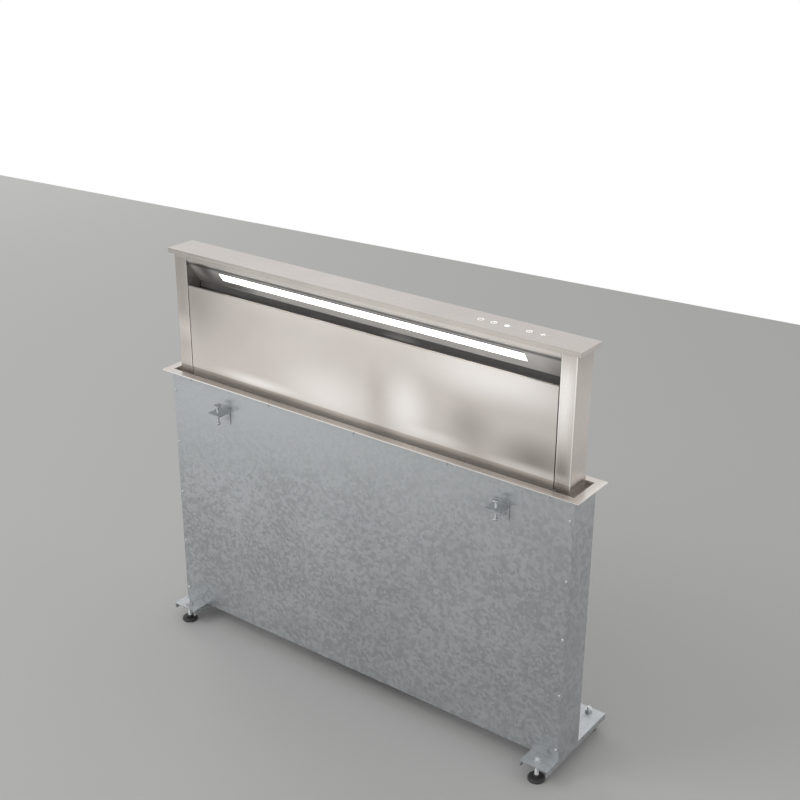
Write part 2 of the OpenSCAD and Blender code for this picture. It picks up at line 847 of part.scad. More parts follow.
// Control box with its board and cable gland
gland_x = control_x0 + control_w - gland_inset;
gland_y = box_y0 + control_d / 2;
module control_box() {
    color(zinc) difference() {
        back_tray(control_x0, control_x0 + control_w, box_y0, box_y0 + control_d,
            control_z0, control_z0 + control_h, box_t, fold_w);
        rod_z(control_z0 - over, control_z0 + box_t + over, gland_x, gland_y, gland_r + run);
        control_screw_holes();
    }
}
module control_cover() {
    color(zinc) difference() {
        slab(control_x0, control_x0 + control_w, box_y0 + control_d, box_y0 + control_d + box_t,
            control_z0, control_z0 + control_h);
        control_screw_holes();
    }
}
module power_board() {
    x0 = control_x0 + board_edge;
    x1 = control_x0 + control_w - board_edge;
    y0 = box_y0 + box_t + board_stand;
    z0 = control_z0 + 2 * board_edge;
    z1 = control_z0 + control_h - board_edge;
    w = x1 - x0;
    h = z1 - z0;
    color(board_green) union() {
        slab(x0, x1, y0, y0 + board_t, z0, z1);
        for (x = [x0 + board_stand, x1 - board_stand])
            for (z = [z0 + board_stand, z1 - board_stand])
                rod_y(box_y0 + box_t, y0 + run, x, z, board_stand_r);
        for (s = board_part_shares)
            slab(x0 + s[0] * w, x0 + s[1] * w, y0 + board_t - run, y0 + s[4] * control_d,
                z0 + s[2] * h, z0 + s[3] * h);
    }
}
module mains_gland() {
    color(black) difference() {
        union() {
            rod_z(control_z0 - gland_out, control_z0 + gland_in, gland_x, gland_y, gland_r);
            translate([gland_x, gland_y, control_z0 - gland_nut_t])
                cylinder(r = gland_nut_r, h = gland_nut_t, $fn = 6);
        }
        rod_z(control_z0 - gland_out - over, control_z0 + gland_in + over, gland_x, gland_y, gland_bore);
    }
}
module housing_screws() {
    color(steel) union() {
        front_and_back() {
            both_ends()
                for (z = end_screw_z)
                    screw_y(end_screw_x, -housing_d / 2, z, 2 * housing_t + over);
            for (s = top_screw_share)
                screw_y(s * opening_w / 2, -housing_d / 2, top_screw_z, housing_t + fit + skirt_t);
        }
        both_ends()
            for (z = box_screw_z)
                mirror([0, 1, 0]) screw_y(box_screw_x, -box_y1 - box_t, z, m4_grip);
        for (x = control_screw_x)
            for (z = control_screw_z)
                mirror([0, 1, 0]) screw_y(x, -box_y0 - control_d - box_t, z, m4_grip);
    }
}

// Column: posts, back, header and sill
column_screw_n = 5;
column_screw_y = back_y - fold_w / 2;
column_screw_z0 = tail_z + nut_h + fold_w;
column_screw_z = [for (i = [0:column_screw_n - 1])
    column_screw_z0 + i * (cap_under - header_drop - column_screw_z0) / (column_screw_n - 1)];
module column_screw_holes() {
    both_ends()
        for (z = column_screw_z)
            rod_x(clear_x - sheet_t - over, clear_x + post_t + over, column_screw_y, z, m4_hole);
}
module post() {
    color(steel) difference() {
        slab(clear_x, column_w / 2, front_y, back_y, tail_z, cap_under);
        slab(clear_x + post_t, column_w / 2 - post_t, front_y + post_t, back_y - post_t,
            tail_z - over, cap_under + over);
        column_screw_holes();
        rod_x(clear_x - over, clear_x + post_t + over, pivot_y, pivot_z, pivot_r + run);
    }
}
module left_post() {
    mirror([1, 0, 0]) post();
}
module right_post() {
    post();
}
module rear_panel() {
    fold_y = back_y - fold_w;
    x1 = clear_x - run;
    color(steel) difference() {
        union() {
            slab(-x1, x1, back_y - sheet_t, back_y, tail_z, cap_under);
            both_ends() slab(x1 - sheet_t, x1, fold_y, back_y, tail_z, cap_under);
        }
        column_screw_holes();
    }
}
module header_rail() {
    x1 = clear_x - fit;
    color(steel) union() {
        slab(-x1, x1, front_y, front_y + sheet_t, header_z, cap_under);
        slab(-x1, x1, front_y, front_y + fold_w, cap_under - sheet_t, cap_under);
    }
}
module column_sill() {
    x1 = clear_x - fit;
    color(steel) union() {
        slab(-x1, x1, front_y, front_y + sheet_t, tail_z, sill_z);
        slab(-x1, x1, front_y, front_y + sill_shelf_d, sill_z - sheet_t, sill_z);
        slab(-x1, x1, front_y + sill_shelf_d - sheet_t, front_y + sill_shelf_d, sill_z - sill_lip, sill_z);
        slab(-x1, x1, front_y, front_y + fold_w, tail_z, tail_z + sheet_t);
    }
}

// Cap: a top sheet with folded edges that turn back in under it to the column
module cap() {
    groove_z = cap_under - cap_t;
    color(steel) difference() {
        slab(-cap_w / 2, cap_w / 2, -cap_d / 2, cap_d / 2, cap_top - lip_h, cap_top);
        slab(-cap_w / 2 + cap_t, cap_w / 2 - cap_t, -cap_d / 2 + cap_t, cap_d / 2 - cap_t,
            cap_top - lip_h + cap_t, cap_under);
        slab(-column_w / 2 - slide_gap, column_w / 2 + slide_gap, front_y - slide_gap, back_y + slide_gap,
            cap_top - lip_h - over, cap_under);
        both_ends()
            slab(cap_w / 2 - cap_t / 2, cap_w / 2 + over, -cap_d / 2 + cap_t / 2, cap_d / 2 + over,
                groove_z, cap_under);
    }
}

// Baffle, diffuser and light board, all set out along the baffle's slope
module on_baffle() {
    translate([0, baffle_y, slot_z]) rotate([baffle_tilt, 0, 0]) children();
}
module light_baffle() {
    x1 = clear_x - fit;
    tab_y = front_y + sheet_t + fit;
    tab_z = header_z - 1.2 * sheet_t;
    color(dark_steel) difference() {
        union() {
            on_baffle() slab(-x1, x1, 0, sheet_t, baffle_start, baffle_end);
            slab(-x1 + over, x1 - over, tab_y, tab_y + sheet_t, tab_z, header_z + baffle_tab);
        }
        on_baffle() slab(-led_w / 2, led_w / 2, -over, sheet_t + over, led_z, led_z + led_h);
    }
}
module light_diffuser() {
    rim_x = led_w / 2 + diffuser_rim;
    color(white) on_baffle() difference() {
        union() {
            slab(-led_w / 2 + fit, led_w / 2 - fit, 0, diffuser_t, led_z + fit, led_z + led_h - fit);
            slab(-rim_x, rim_x, sheet_t + run, diffuser_d, led_z - diffuser_rim, led_z + led_h + diffuser_rim);
        }
        slab(-led_w / 2, led_w / 2, diffuser_t, diffuser_d + over, led_z, led_z + led_h);
    }
}
module led_board() {
    y1 = diffuser_d;
    y0 = y1 - led_board_t;
    color(board_green) on_baffle() union() {
        slab(-led_w / 2 + fit, led_w / 2 - fit, y0, y1, led_z + fit, led_z + led_h - fit);
        for (i = [0:led_chip_n - 1])
            translate([(i + 0.5) * led_w / led_chip_n - led_w / 2, 0, led_z + led_h / 2])
                slab(-led_chip / 2, led_chip / 2, y0 - led_chip / 3, y0 + run, -led_chip / 2, led_chip / 2);
    }
}

// Touch symbols on the cap and the board under it
symbol_r = 6.8;
symbol_line = 1.8;
symbol_t = 0.2;
symbol_inset = 100;
symbol_step = 32;
symbol_steps_share = [-3.65, -2.65, -1.65, 0, 1];
symbol_dot = 1.5;
board_over = 16;
board_half_d = 14;
module symbol_ring(r) {
    difference() {
        cylinder(r = r, h = symbol_t);
        translate([0, 0, -over]) cylinder(r = r - symbol_line, h = symbol_t + 2 * over);
    }
}
module symbol_bar(w, d) {
    slab(-w / 2, w / 2, -d / 2, d / 2, 0, symbol_t);
}
module symbol(i) {
    if (i == 0) symbol_ring(symbol_r);
    if (i == 1) {
        symbol_ring(symbol_r);
        slab(-symbol_line / 2, symbol_line / 2, 0, symbol_r - symbol_line / 2, 0, symbol_t);
    }
    if (i == 2) cylinder(r = symbol_r - symbol_line / 2, h = symbol_t);
    if (i == 3) {
        symbol_ring(symbol_r);
        cylinder(r = symbol_dot, h = symbol_t);
    }
    if (i == 4) {
        symbol_bar(2 * symbol_r, symbol_line);
        symbol_bar(symbol_line, 2 * symbol_r);
    }
}
module touch_symbols() {
    color(white)
        for (i = [0:len(symbol_steps_share) - 1])
            translate([column_w / 2 - symbol_inset - symbol_step + symbol_steps_share[i] * symbol_step, 0, cap_top])
                union() symbol(i);
}
module touch_board() {
    mid = column_w / 2 - symbol_inset - symbol_step;
    color(board_green) slab(mid + symbol_steps_share[0] * symbol_step - board_over,
        mid + symbol_step + board_over, -board_half_d, board_half_d,
        cap_under - fit - board_t, cap_under - fit);
}

// Filters and their channels, all set out along the filters' slope
module on_filter() {
    translate([0, filter_foot_y, filter_foot_z]) rotate([-filter_tilt, 0, 0]) children();
}
module filter_top_channel() {
    x1 = clear_x - sheet_t - 2 * fit;
    z0 = filter_h - channel_hold;
    z1 = filter_h + filter_lift + over;
    color(black) on_filter() difference() {
        slab(-x1, x1, 0, channel_d, z0, z1 + sheet_t);
        slab(-x1 - over, x1 + over, sheet_t, channel_d - sheet_t, z0 - over, z1);
    }
}
module filter_bottom_channel() {
    x1 = filter_span / 2;
    foot_y0 = filter_foot_y + sheet_t;
    color(black) difference() {
        union() {
            on_filter() slab(-x1, x1, 0, channel_d, -channel_seat - sheet_t, channel_low_h);
            slab(-x1 + over, x1 - over, foot_y0, foot_y0 + filter_t, sill_z, filter_foot_z - sheet_t);
        }
        on_filter() slab(-x1 - over, x1 + over, sheet_t, channel_d - sheet_t, -channel_seat, channel_low_h + over);
    }
}
module grease_filter(i) {
    x0 = -filter_span / 2 + filter_space / 2 + i * (filter_w + filter_space);
    slats = floor((filter_w - 2 * filter_border - slat_w) / slat_pitch);
    slat_x0 = filter_w / 2 - slats * slat_pitch / 2;
    color(black) on_filter() translate([x0, filter_y, 0]) union() {
        difference() {
            slab(0, filter_w, 0, filter_t, 0, filter_h);
            slab(filter_border, filter_w - filter_border, -over, filter_t + over,
                filter_border, filter_h - filter_border);
        }
        for (s = [0:slats])
            slab(slat_x0 + s * slat_pitch - slat_w / 2, slat_x0 + s * slat_pitch + slat_w / 2,
                slat_t, 2 * slat_t, filter_border - over, filter_h - filter_border + over);
        for (s = [0:slats - 1])
            slab(slat_x0 + (s + 0.5) * slat_pitch - slat_w / 2, slat_x0 + (s + 0.5) * slat_pitch + slat_w / 2,
                filter_t - 2 * slat_t, filter_t - slat_t, filter_border - over, filter_h - filter_border + over);
        slab(0, filter_w, slat_t, filter_t - slat_t, handle_rise - filter_border / 2, handle_rise + filter_border / 2);
        for (x = [filter_w / 2 - handle_w / 2, filter_w / 2 + handle_w / 2])
            rod_y(-handle_d, 2 * slat_t, x, handle_rise, handle_r);
        rod_x(filter_w / 2 - handle_w / 2 - handle_r, filter_w / 2 + handle_w / 2 + handle_r,
            -handle_d, handle_rise, handle_r);
    }
}
module grease_filter_left() {
    grease_filter(0);
}
module grease_filter_centre() {
    grease_filter(1);
}
module grease_filter_right() {
    grease_filter(2);
}

// Front panel, its pivots and its catches
module front_panel() {
    x1 = clear_x - panel_gap;
    z0 = -panel_drop;
    color(steel) difference() {
        union() {
            slab(-x1, x1, front_y, front_y + sheet_t, z0, slot_z);
            slab(-x1, x1, front_y, front_y + panel_return, slot_z - sheet_t, slot_z);
            slab(-x1, x1, front_y, front_y + panel_return, z0, z0 + sheet_t);
            both_ends() {
                slab(x1 - sheet_t, x1, front_y, front_y + panel_return, z0, slot_z);
                slab(x1 - ear_t, x1, front_y, front_y + ear_d, z0, z0 + ear_h);
            }
        }
        both_ends() rod_x(x1 - ear_t - over, x1 + over, pivot_y, pivot_z, pivot_r + run);
    }
}
module pivot_pins() {
    color(steel) both_ends()
        rod_x(clear_x - pivot_l, clear_x + post_t, pivot_y, pivot_z, pivot_r);
}
module panel_catches() {
    z1 = slot_z - catch_drop;
    color(black) both_ends()
        slab(clear_x - catch_w, clear_x, front_y + panel_return + slide_gap,
            front_y + panel_return + slide_gap + catch_w, z1 - catch_h, z1);
}
module column_screws() {
    color(steel) both_ends()
        for (z = column_screw_z)
            union() {
                rod_x(clear_x - run - sheet_t - m4_head_t, clear_x - run - sheet_t, column_screw_y, z, m4_head_r);
                rod_x(clear_x - 2 * run - sheet_t, clear_x + post_t + over, column_screw_y, z, m4_r);
            }
}

worktop_flange();
flange_gasket();
housing_front();
housing_rear();
housing_left_end();
housing_right_end();
housing_base();
guide_frame();
column_seal();
guide_rail_left();
guide_rail_right();
screw_gearboxes();
lift_gear_unit();
lift_motor();
limit_sensors();
worktop_clamps();
clamp_screws();
floor_brackets();
levelling_feet();
foot_nuts();
blower_box();
blower_cover();
scroll();
inlet_ring();
blower_motor();
outlet_spigot();
damper_pin();
control_box();
control_cover();
power_board();
mains_gland();
housing_screws();
left_post();
right_post();
rear_panel();
header_rail();
cap();
light_baffle();
light_diffuser();
led_board();
touch_symbols();
touch_board();
column_sill();
filter_top_channel();
filter_bottom_channel();
screw_nuts();
slide_shoes();
panel_catches();
pivot_pins();
column_screws();
front_panel();
grease_filter_left();
grease_filter_centre();
grease_filter_right();
lead_screw_left();
lead_screw_right();
sync_shaft();
impeller();
damper_flap_front();
damper_flap_rear();
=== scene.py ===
# %% [markdown]
# A downdraft vent is a flat steel column that rises out of the worktop behind a hob. It draws
# steam in through a slot under its cap, and a blower below the worktop sends it out through a duct.
# The solids come from a finished CAD model. This lesson gives them their finishes, swaps plain
# rods and fasteners for threaded ones, and lights the whole as a catalogue would.

# %% Load the solids
import math

import bmesh
import bpy
from mathutils import Matrix, Vector


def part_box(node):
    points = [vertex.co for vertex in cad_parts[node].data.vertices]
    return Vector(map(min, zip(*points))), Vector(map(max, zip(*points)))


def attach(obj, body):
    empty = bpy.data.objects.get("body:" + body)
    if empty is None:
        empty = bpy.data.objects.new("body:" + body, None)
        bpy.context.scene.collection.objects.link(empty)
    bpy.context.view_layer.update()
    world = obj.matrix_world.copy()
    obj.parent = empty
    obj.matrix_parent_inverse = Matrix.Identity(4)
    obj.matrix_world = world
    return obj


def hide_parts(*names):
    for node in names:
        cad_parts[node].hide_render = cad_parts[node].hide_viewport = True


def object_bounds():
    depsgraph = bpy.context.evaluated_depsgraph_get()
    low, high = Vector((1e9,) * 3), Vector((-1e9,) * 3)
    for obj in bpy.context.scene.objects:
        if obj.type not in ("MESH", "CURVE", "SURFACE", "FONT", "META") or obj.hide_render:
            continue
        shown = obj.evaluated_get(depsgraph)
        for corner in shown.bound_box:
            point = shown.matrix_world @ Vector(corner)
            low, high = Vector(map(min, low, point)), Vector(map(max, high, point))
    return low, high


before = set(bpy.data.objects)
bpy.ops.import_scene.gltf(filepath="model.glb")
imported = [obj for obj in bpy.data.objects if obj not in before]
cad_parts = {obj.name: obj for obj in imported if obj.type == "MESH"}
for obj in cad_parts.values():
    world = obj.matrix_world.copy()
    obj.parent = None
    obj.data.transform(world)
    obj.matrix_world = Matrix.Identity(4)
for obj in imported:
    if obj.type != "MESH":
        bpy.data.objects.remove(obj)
solid_low, solid_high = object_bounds()
MM = 0.001

# %% [markdown]
# The camera stands in front of the right end and looks down at the column. Its place, its turn and
# its lens were found by matching the edges of the cap, the posts and the flange to a photograph.
# A camera looks along its own -Z, so its matrix holds the right, up and backward directions.

# %% Camera
CAMERA_PLACE = Vector((1.7137, -2.1736, 1.2591))
CAMERA_TURN = math.radians(36.617)
CAMERA_DIP = math.radians(23.521)
CAMERA_ROLL = math.radians(0.3)
CAMERA_LENS = 60.16


def camera_matrix(place, turn, dip, roll):
    """The matrix of a camera at place that looks turn away from +Y and dips below level."""
    forward = Vector((-math.sin(turn) * math.cos(dip), math.cos(turn) * math.cos(dip), -math.sin(dip)))
    level = Vector((math.cos(turn), math.sin(turn), 0))
    upright = level.cross(forward)
    right = level * math.cos(roll) + upright * math.sin(roll)
    up = upright * math.cos(roll) - level * math.sin(roll)
    return Matrix.Translation(place) @ Matrix((right, up, -forward)).transposed().to_4x4()


camera = bpy.data.objects.new("camera", bpy.data.cameras.new("camera"))
camera.data.lens = CAMERA_LENS
camera.matrix_world = camera_matrix(CAMERA_PLACE, CAMERA_TURN, CAMERA_DIP, CAMERA_ROLL)
bpy.context.scene.collection.objects.link(camera)
bpy.context.scene.camera = camera
print("camera", [round(v, 3) for v in camera.location], "lens", CAMERA_LENS)

# %% [markdown]
# Every finish is a small tree of nodes that ends in one Principled shader. The trees share a few
# moves: read the place on the object, stretch it, turn it into noise, and turn noise into colour,
# roughness or bumps. One small class gives each move a short name, so that a finish reads as a
# recipe. Places are in metres, so a noise scale of 1000 has features about a millimetre wide.

# %% A helper for finishes
# A Mix node has sockets for every kind of value. These are the numbers of the ones that colours use.
MIX_AMOUNT = 0
MIX_BELOW = 6
MIX_ABOVE = 7
MIX_RESULT = 2


class Finish:
    """A material with one Principled shader, and a short call for each move that finishes share."""

    def __init__(self, name, colour, metallic=0.0, roughness=0.5):
        self.name = name
        self.material = bpy.data.materials.new(name)
        self.material.use_nodes = True
        self.nodes = self.material.node_tree.nodes
        self.shader = self.nodes["Principled BSDF"]
        self.fix("Base Color", (*colour, 1.0))
        self.fix("Metallic", metallic)
        self.fix("Roughness", roughness)

    def fix(self, socket, value):
        """Sets one of the shader's own values."""
        self.shader.inputs[socket].default_value = value

    def drive(self, socket, source):
        """Lets a node drive one of the shader's values."""
        self.material.node_tree.links.new(source, self.shader.inputs[socket])

    def node(self, kind, inputs=(), **settings):
        """A node with its settings, and its inputs as (socket, value or source) pairs."""
        made = self.nodes.new("ShaderNode" + kind)
        for name, value in settings.items():
            setattr(made, name, value)
        for socket, value in inputs:
            if isinstance(value, bpy.types.NodeSocket):
                self.material.node_tree.links.new(value, made.inputs[socket])
            else:
                made.inputs[socket].default_value = value
        return made

    def place(self, stretch=(1.0, 1.0, 1.0), shift=(0.0, 0.0, 0.0)):
        """The place on the object in metres, moved and stretched."""
        here = self.node("TexCoord").outputs["Object"]
        return self.node("Mapping", [("Vector", here), ("Location", shift), ("Scale", stretch)]).outputs[0]

    def noise(self, scale, stretch=(1.0, 1.0, 1.0), detail=2.0):
        """Smooth noise from 0 to 1."""
        sockets = [("Vector", self.place(stretch)), ("Scale", scale), ("Detail", detail)]
        return self.node("TexNoise", sockets).outputs["Fac"]

    def span(self, value, low, high, start=0.0, end=1.0):
        """Maps value from start..end to low..high, and holds it there."""
        sockets = [("Value", value), ("From Min", start), ("From Max", end)]
        sockets += [("To Min", low), ("To Max", high)]
        return self.node("MapRange", sockets, interpolation_type="SMOOTHSTEP").outputs[0]

    def shades(self, value, stops):
        """Colours along value, from (position, colour) stops."""
        ramp = self.node("ValToRGB", [("Fac", value)])
        elements = ramp.color_ramp.elements
        while len(elements) < len(stops):
            elements.new(0.5)
        for element, (position, colour) in zip(elements, stops):
            element.position = position
            element.color = (*colour, 1.0)
        return ramp.outputs["Color"]

    def drift(self, value, dark, light, start=0.3, end=0.7):
        """Colours that go from dark to light while value goes from start to end."""
        return self.shades(value, [(start, dark), (end, light)])

    def mix(self, kind, amount, below, above):
        """Two colours mixed in one of Blender's ways."""
        sockets = [(MIX_AMOUNT, amount), (MIX_BELOW, below), (MIX_ABOVE, above)]
        mixed = self.node("Mix", sockets, data_type="RGBA", blend_type=kind)
        return mixed.outputs[MIX_RESULT]

    def maths(self, operation, first, second):
        """One sum on two numbers."""
        return self.node("Math", [(0, first), (1, second)], operation=operation).outputs[0]

    def bump(self, height, depth):
        """Turns a height from 0 to 1 into a bumpy normal, depth metres deep."""
        sockets = [("Height", height), ("Strength", 1.0), ("Distance", depth)]
        return self.node("Bump", sockets).outputs["Normal"]


FINISHES = {}


def keep(finish):
    """Stores a finished recipe under its name."""
    FINISHES[finish.name] = finish.material
    return finish.material


print("finish helper ready")

# %% [markdown]
# The column, its cap and the flange are stainless steel with a fine brushed grain. Brushing leaves
# thousands of shallow scratches along one direction. Noise that is stretched about five hundred times
# along the grain gives them, and drives a little of the colour, more of the roughness, and a very
# shallow bump. The grain follows each sheet's length: X on the long sheets, Z on the posts.

# %% Scratches
GRAIN_ALONG = 5.0
GRAIN_ACROSS = 2600.0
GRAIN = {
    "X": (GRAIN_ALONG, GRAIN_ACROSS, GRAIN_ACROSS),
    "Y": (GRAIN_ACROSS, GRAIN_ALONG, GRAIN_ACROSS),
    "Z": (GRAIN_ACROSS, GRAIN_ACROSS, GRAIN_ALONG),
}
SCRATCH_DEPTH = 0.02 * MM


def scratches(finish, along, detail=2.0):
    """Noise that is stretched along one axis, as brushing and milling leave it."""
    return finish.noise(1.0, GRAIN[along], detail)


print("grain stretched", round(GRAIN_ACROSS / GRAIN_ALONG), "times")

# %% [markdown]
# Satin sheet never looks even: it shows soft bright and dark reflections, and a fold catches a thin line of
# light. So a sheet can take a list of patches that paint these reflections, highlights and shade into its
# colour. Each has its middle, its half width and half height in metres, and its strength, and a last number
# below 1 gives it a firm middle inside its soft rim. A very long, narrow patch is a line or a band, such as
# the grey one that runs along the posts' feet, a painted reflection of the flange.

# %% Patches of painted light and shade
# A patch paints light into a sheet's colour, or shade where its strength is below zero.
def painted_patch(finish, centre, size, strength, soft=1.0):
    """An oval patch on an upright sheet: strength inside, fading to nothing over its soft rim."""
    across, up = size
    shift = (-centre[0] / across, 0.0, -centre[1] / up)
    spot = finish.place((1 / across, 0.0, 1 / up), shift)
    reach = finish.node("VectorMath", [(0, spot)], operation="LENGTH").outputs["Value"]
    return finish.span(reach, strength, 0.0, 1.0 - soft)


def add_painted_patches(finish, value, patches):
    """Adds a list of patches to a value."""
    for settings in patches:
        value = finish.maths("ADD", value, painted_patch(finish, *settings))
    return value


print("patches ready")

# %% [markdown]
# Brushed steel takes its colour from one tone between dark and light steel. Soft clouds move the tone a
# little, the scratches move it finely, and patches of painted light and shade move it most. The posts, the
# cap, the rail under it and the flange each have painted patches of their own, and a tone that paints them
# darker or lighter for the way they face the light.

# %% Brushed stainless steel
# The dark and the light steel are reached mostly where patches add painted shade and painted light.
STEEL = (0.64, 0.595, 0.555)
STEEL_DARK = (0.30, 0.275, 0.25)
STEEL_LIGHT = (0.93, 0.89, 0.86)
STEEL_SHADES = [(0.0, STEEL_DARK), (0.5, STEEL), (1.0, STEEL_LIGHT)]
SCRATCH_TONE = 0.035
CLOUD_TONE = 0.05
CLOUD_SCALE = 7.0
SMOOTHER = 0.05
ROUGHER = 0.06


def brushed_steel(name, grain="X", roughness=0.27, patches=(), tone=0.5):
    """Stainless steel brushed along one axis, with soft patches of painted light and shade where the sheet
    has them.
    """
    finish = Finish(name, STEEL, metallic=0.8, roughness=roughness)
    lines = scratches(finish, grain, detail=3.0)
    clouds = finish.span(finish.noise(CLOUD_SCALE), tone - CLOUD_TONE, tone + CLOUD_TONE)
    value = finish.maths("ADD", finish.span(lines, -SCRATCH_TONE, SCRATCH_TONE), clouds)
    finish.drive("Base Color", finish.shades(add_painted_patches(finish, value, patches), STEEL_SHADES))
    finish.drive("Roughness", finish.span(lines, roughness - SMOOTHER, roughness + ROUGHER))
    finish.drive("Normal", finish.bump(lines, SCRATCH_DEPTH))
    return keep(finish)


# Painted light and shade on the posts: soft reflections, highlight and shadow lines along the folds and
# seams, and a grey band at the feet that paints the flange's reflection.
POST_PAINTED_LIGHT = [
    ((0.528, 0.215), (0.034, 0.180), 0.55),
    ((0.528, 0.315), (0.034, 0.085), -0.42),
    ((0.528, 0.045), (0.034, 0.085), -0.42),
    ((-0.534, 0.170), (0.060, 0.300), -0.24),
    ((-0.534, 0.120), (0.060, 0.050), 0.22),
    ((-0.534, 0.312), (0.060, 0.022), 0.55),
    ((-0.5150, 0.292), (0.0012, 0.035), -0.40),
    ((0.5530, 0.300), (0.0015, 0.240), -0.18),
    ((0.5530, 0.030), (0.0015, 0.060), 0.12),
    ((0.5505, 0.150), (0.0017, 3.000), 0.60),
    ((0.5165, 0.150), (0.0014, 3.000), 0.30),
    ((-0.5165, 0.150), (0.0014, 3.000), 0.25),
    ((0.0, 0.0145), (3.0, 0.0055), -0.25, 0.3),
    ((0.528, 0.030), (0.034, 0.016), 0.30),
]
# Painted light on the cap: a faint bright pool and a highlight line near its front edge.
CAP_PAINTED_LIGHT = [
    ((-0.120, 0.310), (0.400, 0.500), 0.05),
    ((-0.520, 0.3095), (0.420, 0.0060), 0.20),
]
# A painted shadow line along the rail's lower edge.
HEADER_PAINTED_SHADE = [((0.0, 0.2920), (3.0, 0.0020), -0.30)]
# Painted light and shade on the flange: a highlight along its front edge, light on the skirt below it, a
# darker stretch on the left and a light spot at its right end.
FLANGE_PAINTED_LIGHT = [
    ((0.0, 0.0015), (3.0, 0.0027), 0.80),
    ((0.0, -0.0110), (3.0, 0.0130), 0.45),
    ((-0.220, 0.0030), (0.330, 0.0040), -0.20),
    ((0.590, 0.0030), (0.016, 0.0040), 0.25),
]
# The lower tones of the rail and the cap paint shade on them for the way they face the light.
brushed_steel("steel_long")
brushed_steel("steel_header", patches=HEADER_PAINTED_SHADE, tone=0.46)
brushed_steel("steel_cap", patches=CAP_PAINTED_LIGHT, tone=0.36)
brushed_steel("steel_flange", patches=FLANGE_PAINTED_LIGHT)
brushed_steel("steel_upright", grain="Z", patches=POST_PAINTED_LIGHT)
print("brushed steel:", ", ".join(FINISHES))

# %% [markdown]
# The front panel is the largest sheet, and the photograph shows its satin face as a row of soft reflections,
# painted here as patches: a bright pool low on the left, two dark ones to the right, and a light band above
# them. A painted shadow line runs along its top edge, and a grey band along its foot paints the flange's
# reflection. Each patch is an oval with a place and a size in metres, so it stays put on the panel when the
# panel tilts, and it looks the same from every side.

# %% The front panel's satin face and painted reflections
PANEL_PAINTED_LIGHT = [
    ((-0.500, 0.200), (0.120, 0.120), -0.22),
    ((-0.400, 0.120), (0.240, 0.200), -0.14),
    ((-0.080, 0.045), (0.200, 0.110), 0.36),
    ((0.055, 0.080), (0.050, 0.130), -0.14),
    ((0.140, 0.075), (0.085, 0.120), 0.46),
    ((0.305, 0.085), (0.090, 0.085), -0.28),
    ((0.465, 0.052), (0.130, 0.078), -0.46),
    ((0.360, 0.200), (0.270, 0.070), 0.46),
    ((0.0, 0.232), (3.0, 0.005), -0.60),
    ((-0.300, 0.030), (0.170, 0.022), 0.45),
    ((0.220, 0.034), (0.110, 0.024), 0.32),
    ((0.460, 0.026), (0.140, 0.020), 0.50),
    ((0.0, 0.0150), (3.0, 0.0060), -0.30, 0.2),
    ((0.0, 0.0), (3.0, 0.0070), 0.35, 0.6),
]
# Its higher tone paints the whole panel a little lighter.
brushed_steel("steel_panel", roughness=0.33, patches=PANEL_PAINTED_LIGHT, tone=0.54)
print("patches on the panel:", len(PANEL_PAINTED_LIGHT))

# %% [markdown]
# The sloping sheet behind the intake slot is blasted and then polished over: it scatters the light that
# comes in through the slot, and its polished skin still mirrors the channel below. A rough metal under a
# clear, smooth coat gives both. The same oval patches mix painted shade into it: one is a painted shadow
# line under the rail, two more paint the shade on its left end. The ledge in the gap round the column is a
# dull grey sheet, which catches a little of the light that falls into the gap.

# %% Polished steel and dull steel
# The painted shade on the sloping sheet: its colour, then where it falls.
SLOPE_SHADE = (0.16, 0.155, 0.15, 1.0)
SLOPE_PAINTED_SHADE = [
    ((0.0, 0.2842), (3.0, 0.0075), 0.90),
    ((-0.468, 0.276), (0.036, 0.045), 0.80),
    ((-0.370, 0.243), (0.070, 0.020), 0.55),
]


def polished_steel():
    """Blasted sheet under a polished skin, with the faint waves of real polishing and patches of painted
    shade.
    """
    finish = Finish("steel_polished", (0.80, 0.77, 0.74), metallic=0.5, roughness=0.5)
    waves = finish.noise(18.0, detail=1.0)
    shine = finish.drift(waves, (0.77, 0.74, 0.71), (0.83, 0.80, 0.77))
    shade = add_painted_patches(finish, 0.0, SLOPE_PAINTED_SHADE)
    finish.drive("Base Color", finish.mix("MIX", shade, shine, SLOPE_SHADE))
    finish.drive("Roughness", finish.span(scratches(finish, "X"), 0.44, 0.56))
    finish.drive("Normal", finish.bump(waves, 0.10 * MM))
    finish.fix("Coat Weight", 0.3)
    finish.fix("Coat Roughness", 0.08)
    return keep(finish)


def dull_steel():
    """Grey sheet with a dull, slightly stained surface."""
    finish = Finish("steel_dull", (0.62, 0.59, 0.56), metallic=0.3, roughness=0.5)
    stains = finish.noise(30.0, detail=3.0)
    lines = scratches(finish, "X")
    finish.drive("Base Color", finish.drift(stains, (0.58, 0.55, 0.52), (0.66, 0.63, 0.60)))
    finish.drive("Roughness", finish.span(lines, 0.45, 0.58))
    finish.drive("Normal", finish.bump(lines, SCRATCH_DEPTH))
    return keep(finish)


polished_steel()
dull_steel()
print("finishes so far:", len(FINISHES))

# %% [markdown]
# Below the worktop the sheets are hot-dip galvanised. Zinc cools in crystals that show as a patchwork
# of flat greys, the spangle. Voronoi cells are made for that: each cell gets its own grey and its own
# roughness, and a little noise bends the borders between them. A second, much coarser noise dulls
# the sheet in places, as handling does.

# %% Galvanised sheet
SPANGLE_SCALE = 130.0
BEND_SCALE = 150.0
BEND_REACH = 0.004
SPANGLE_SHARE = 0.7


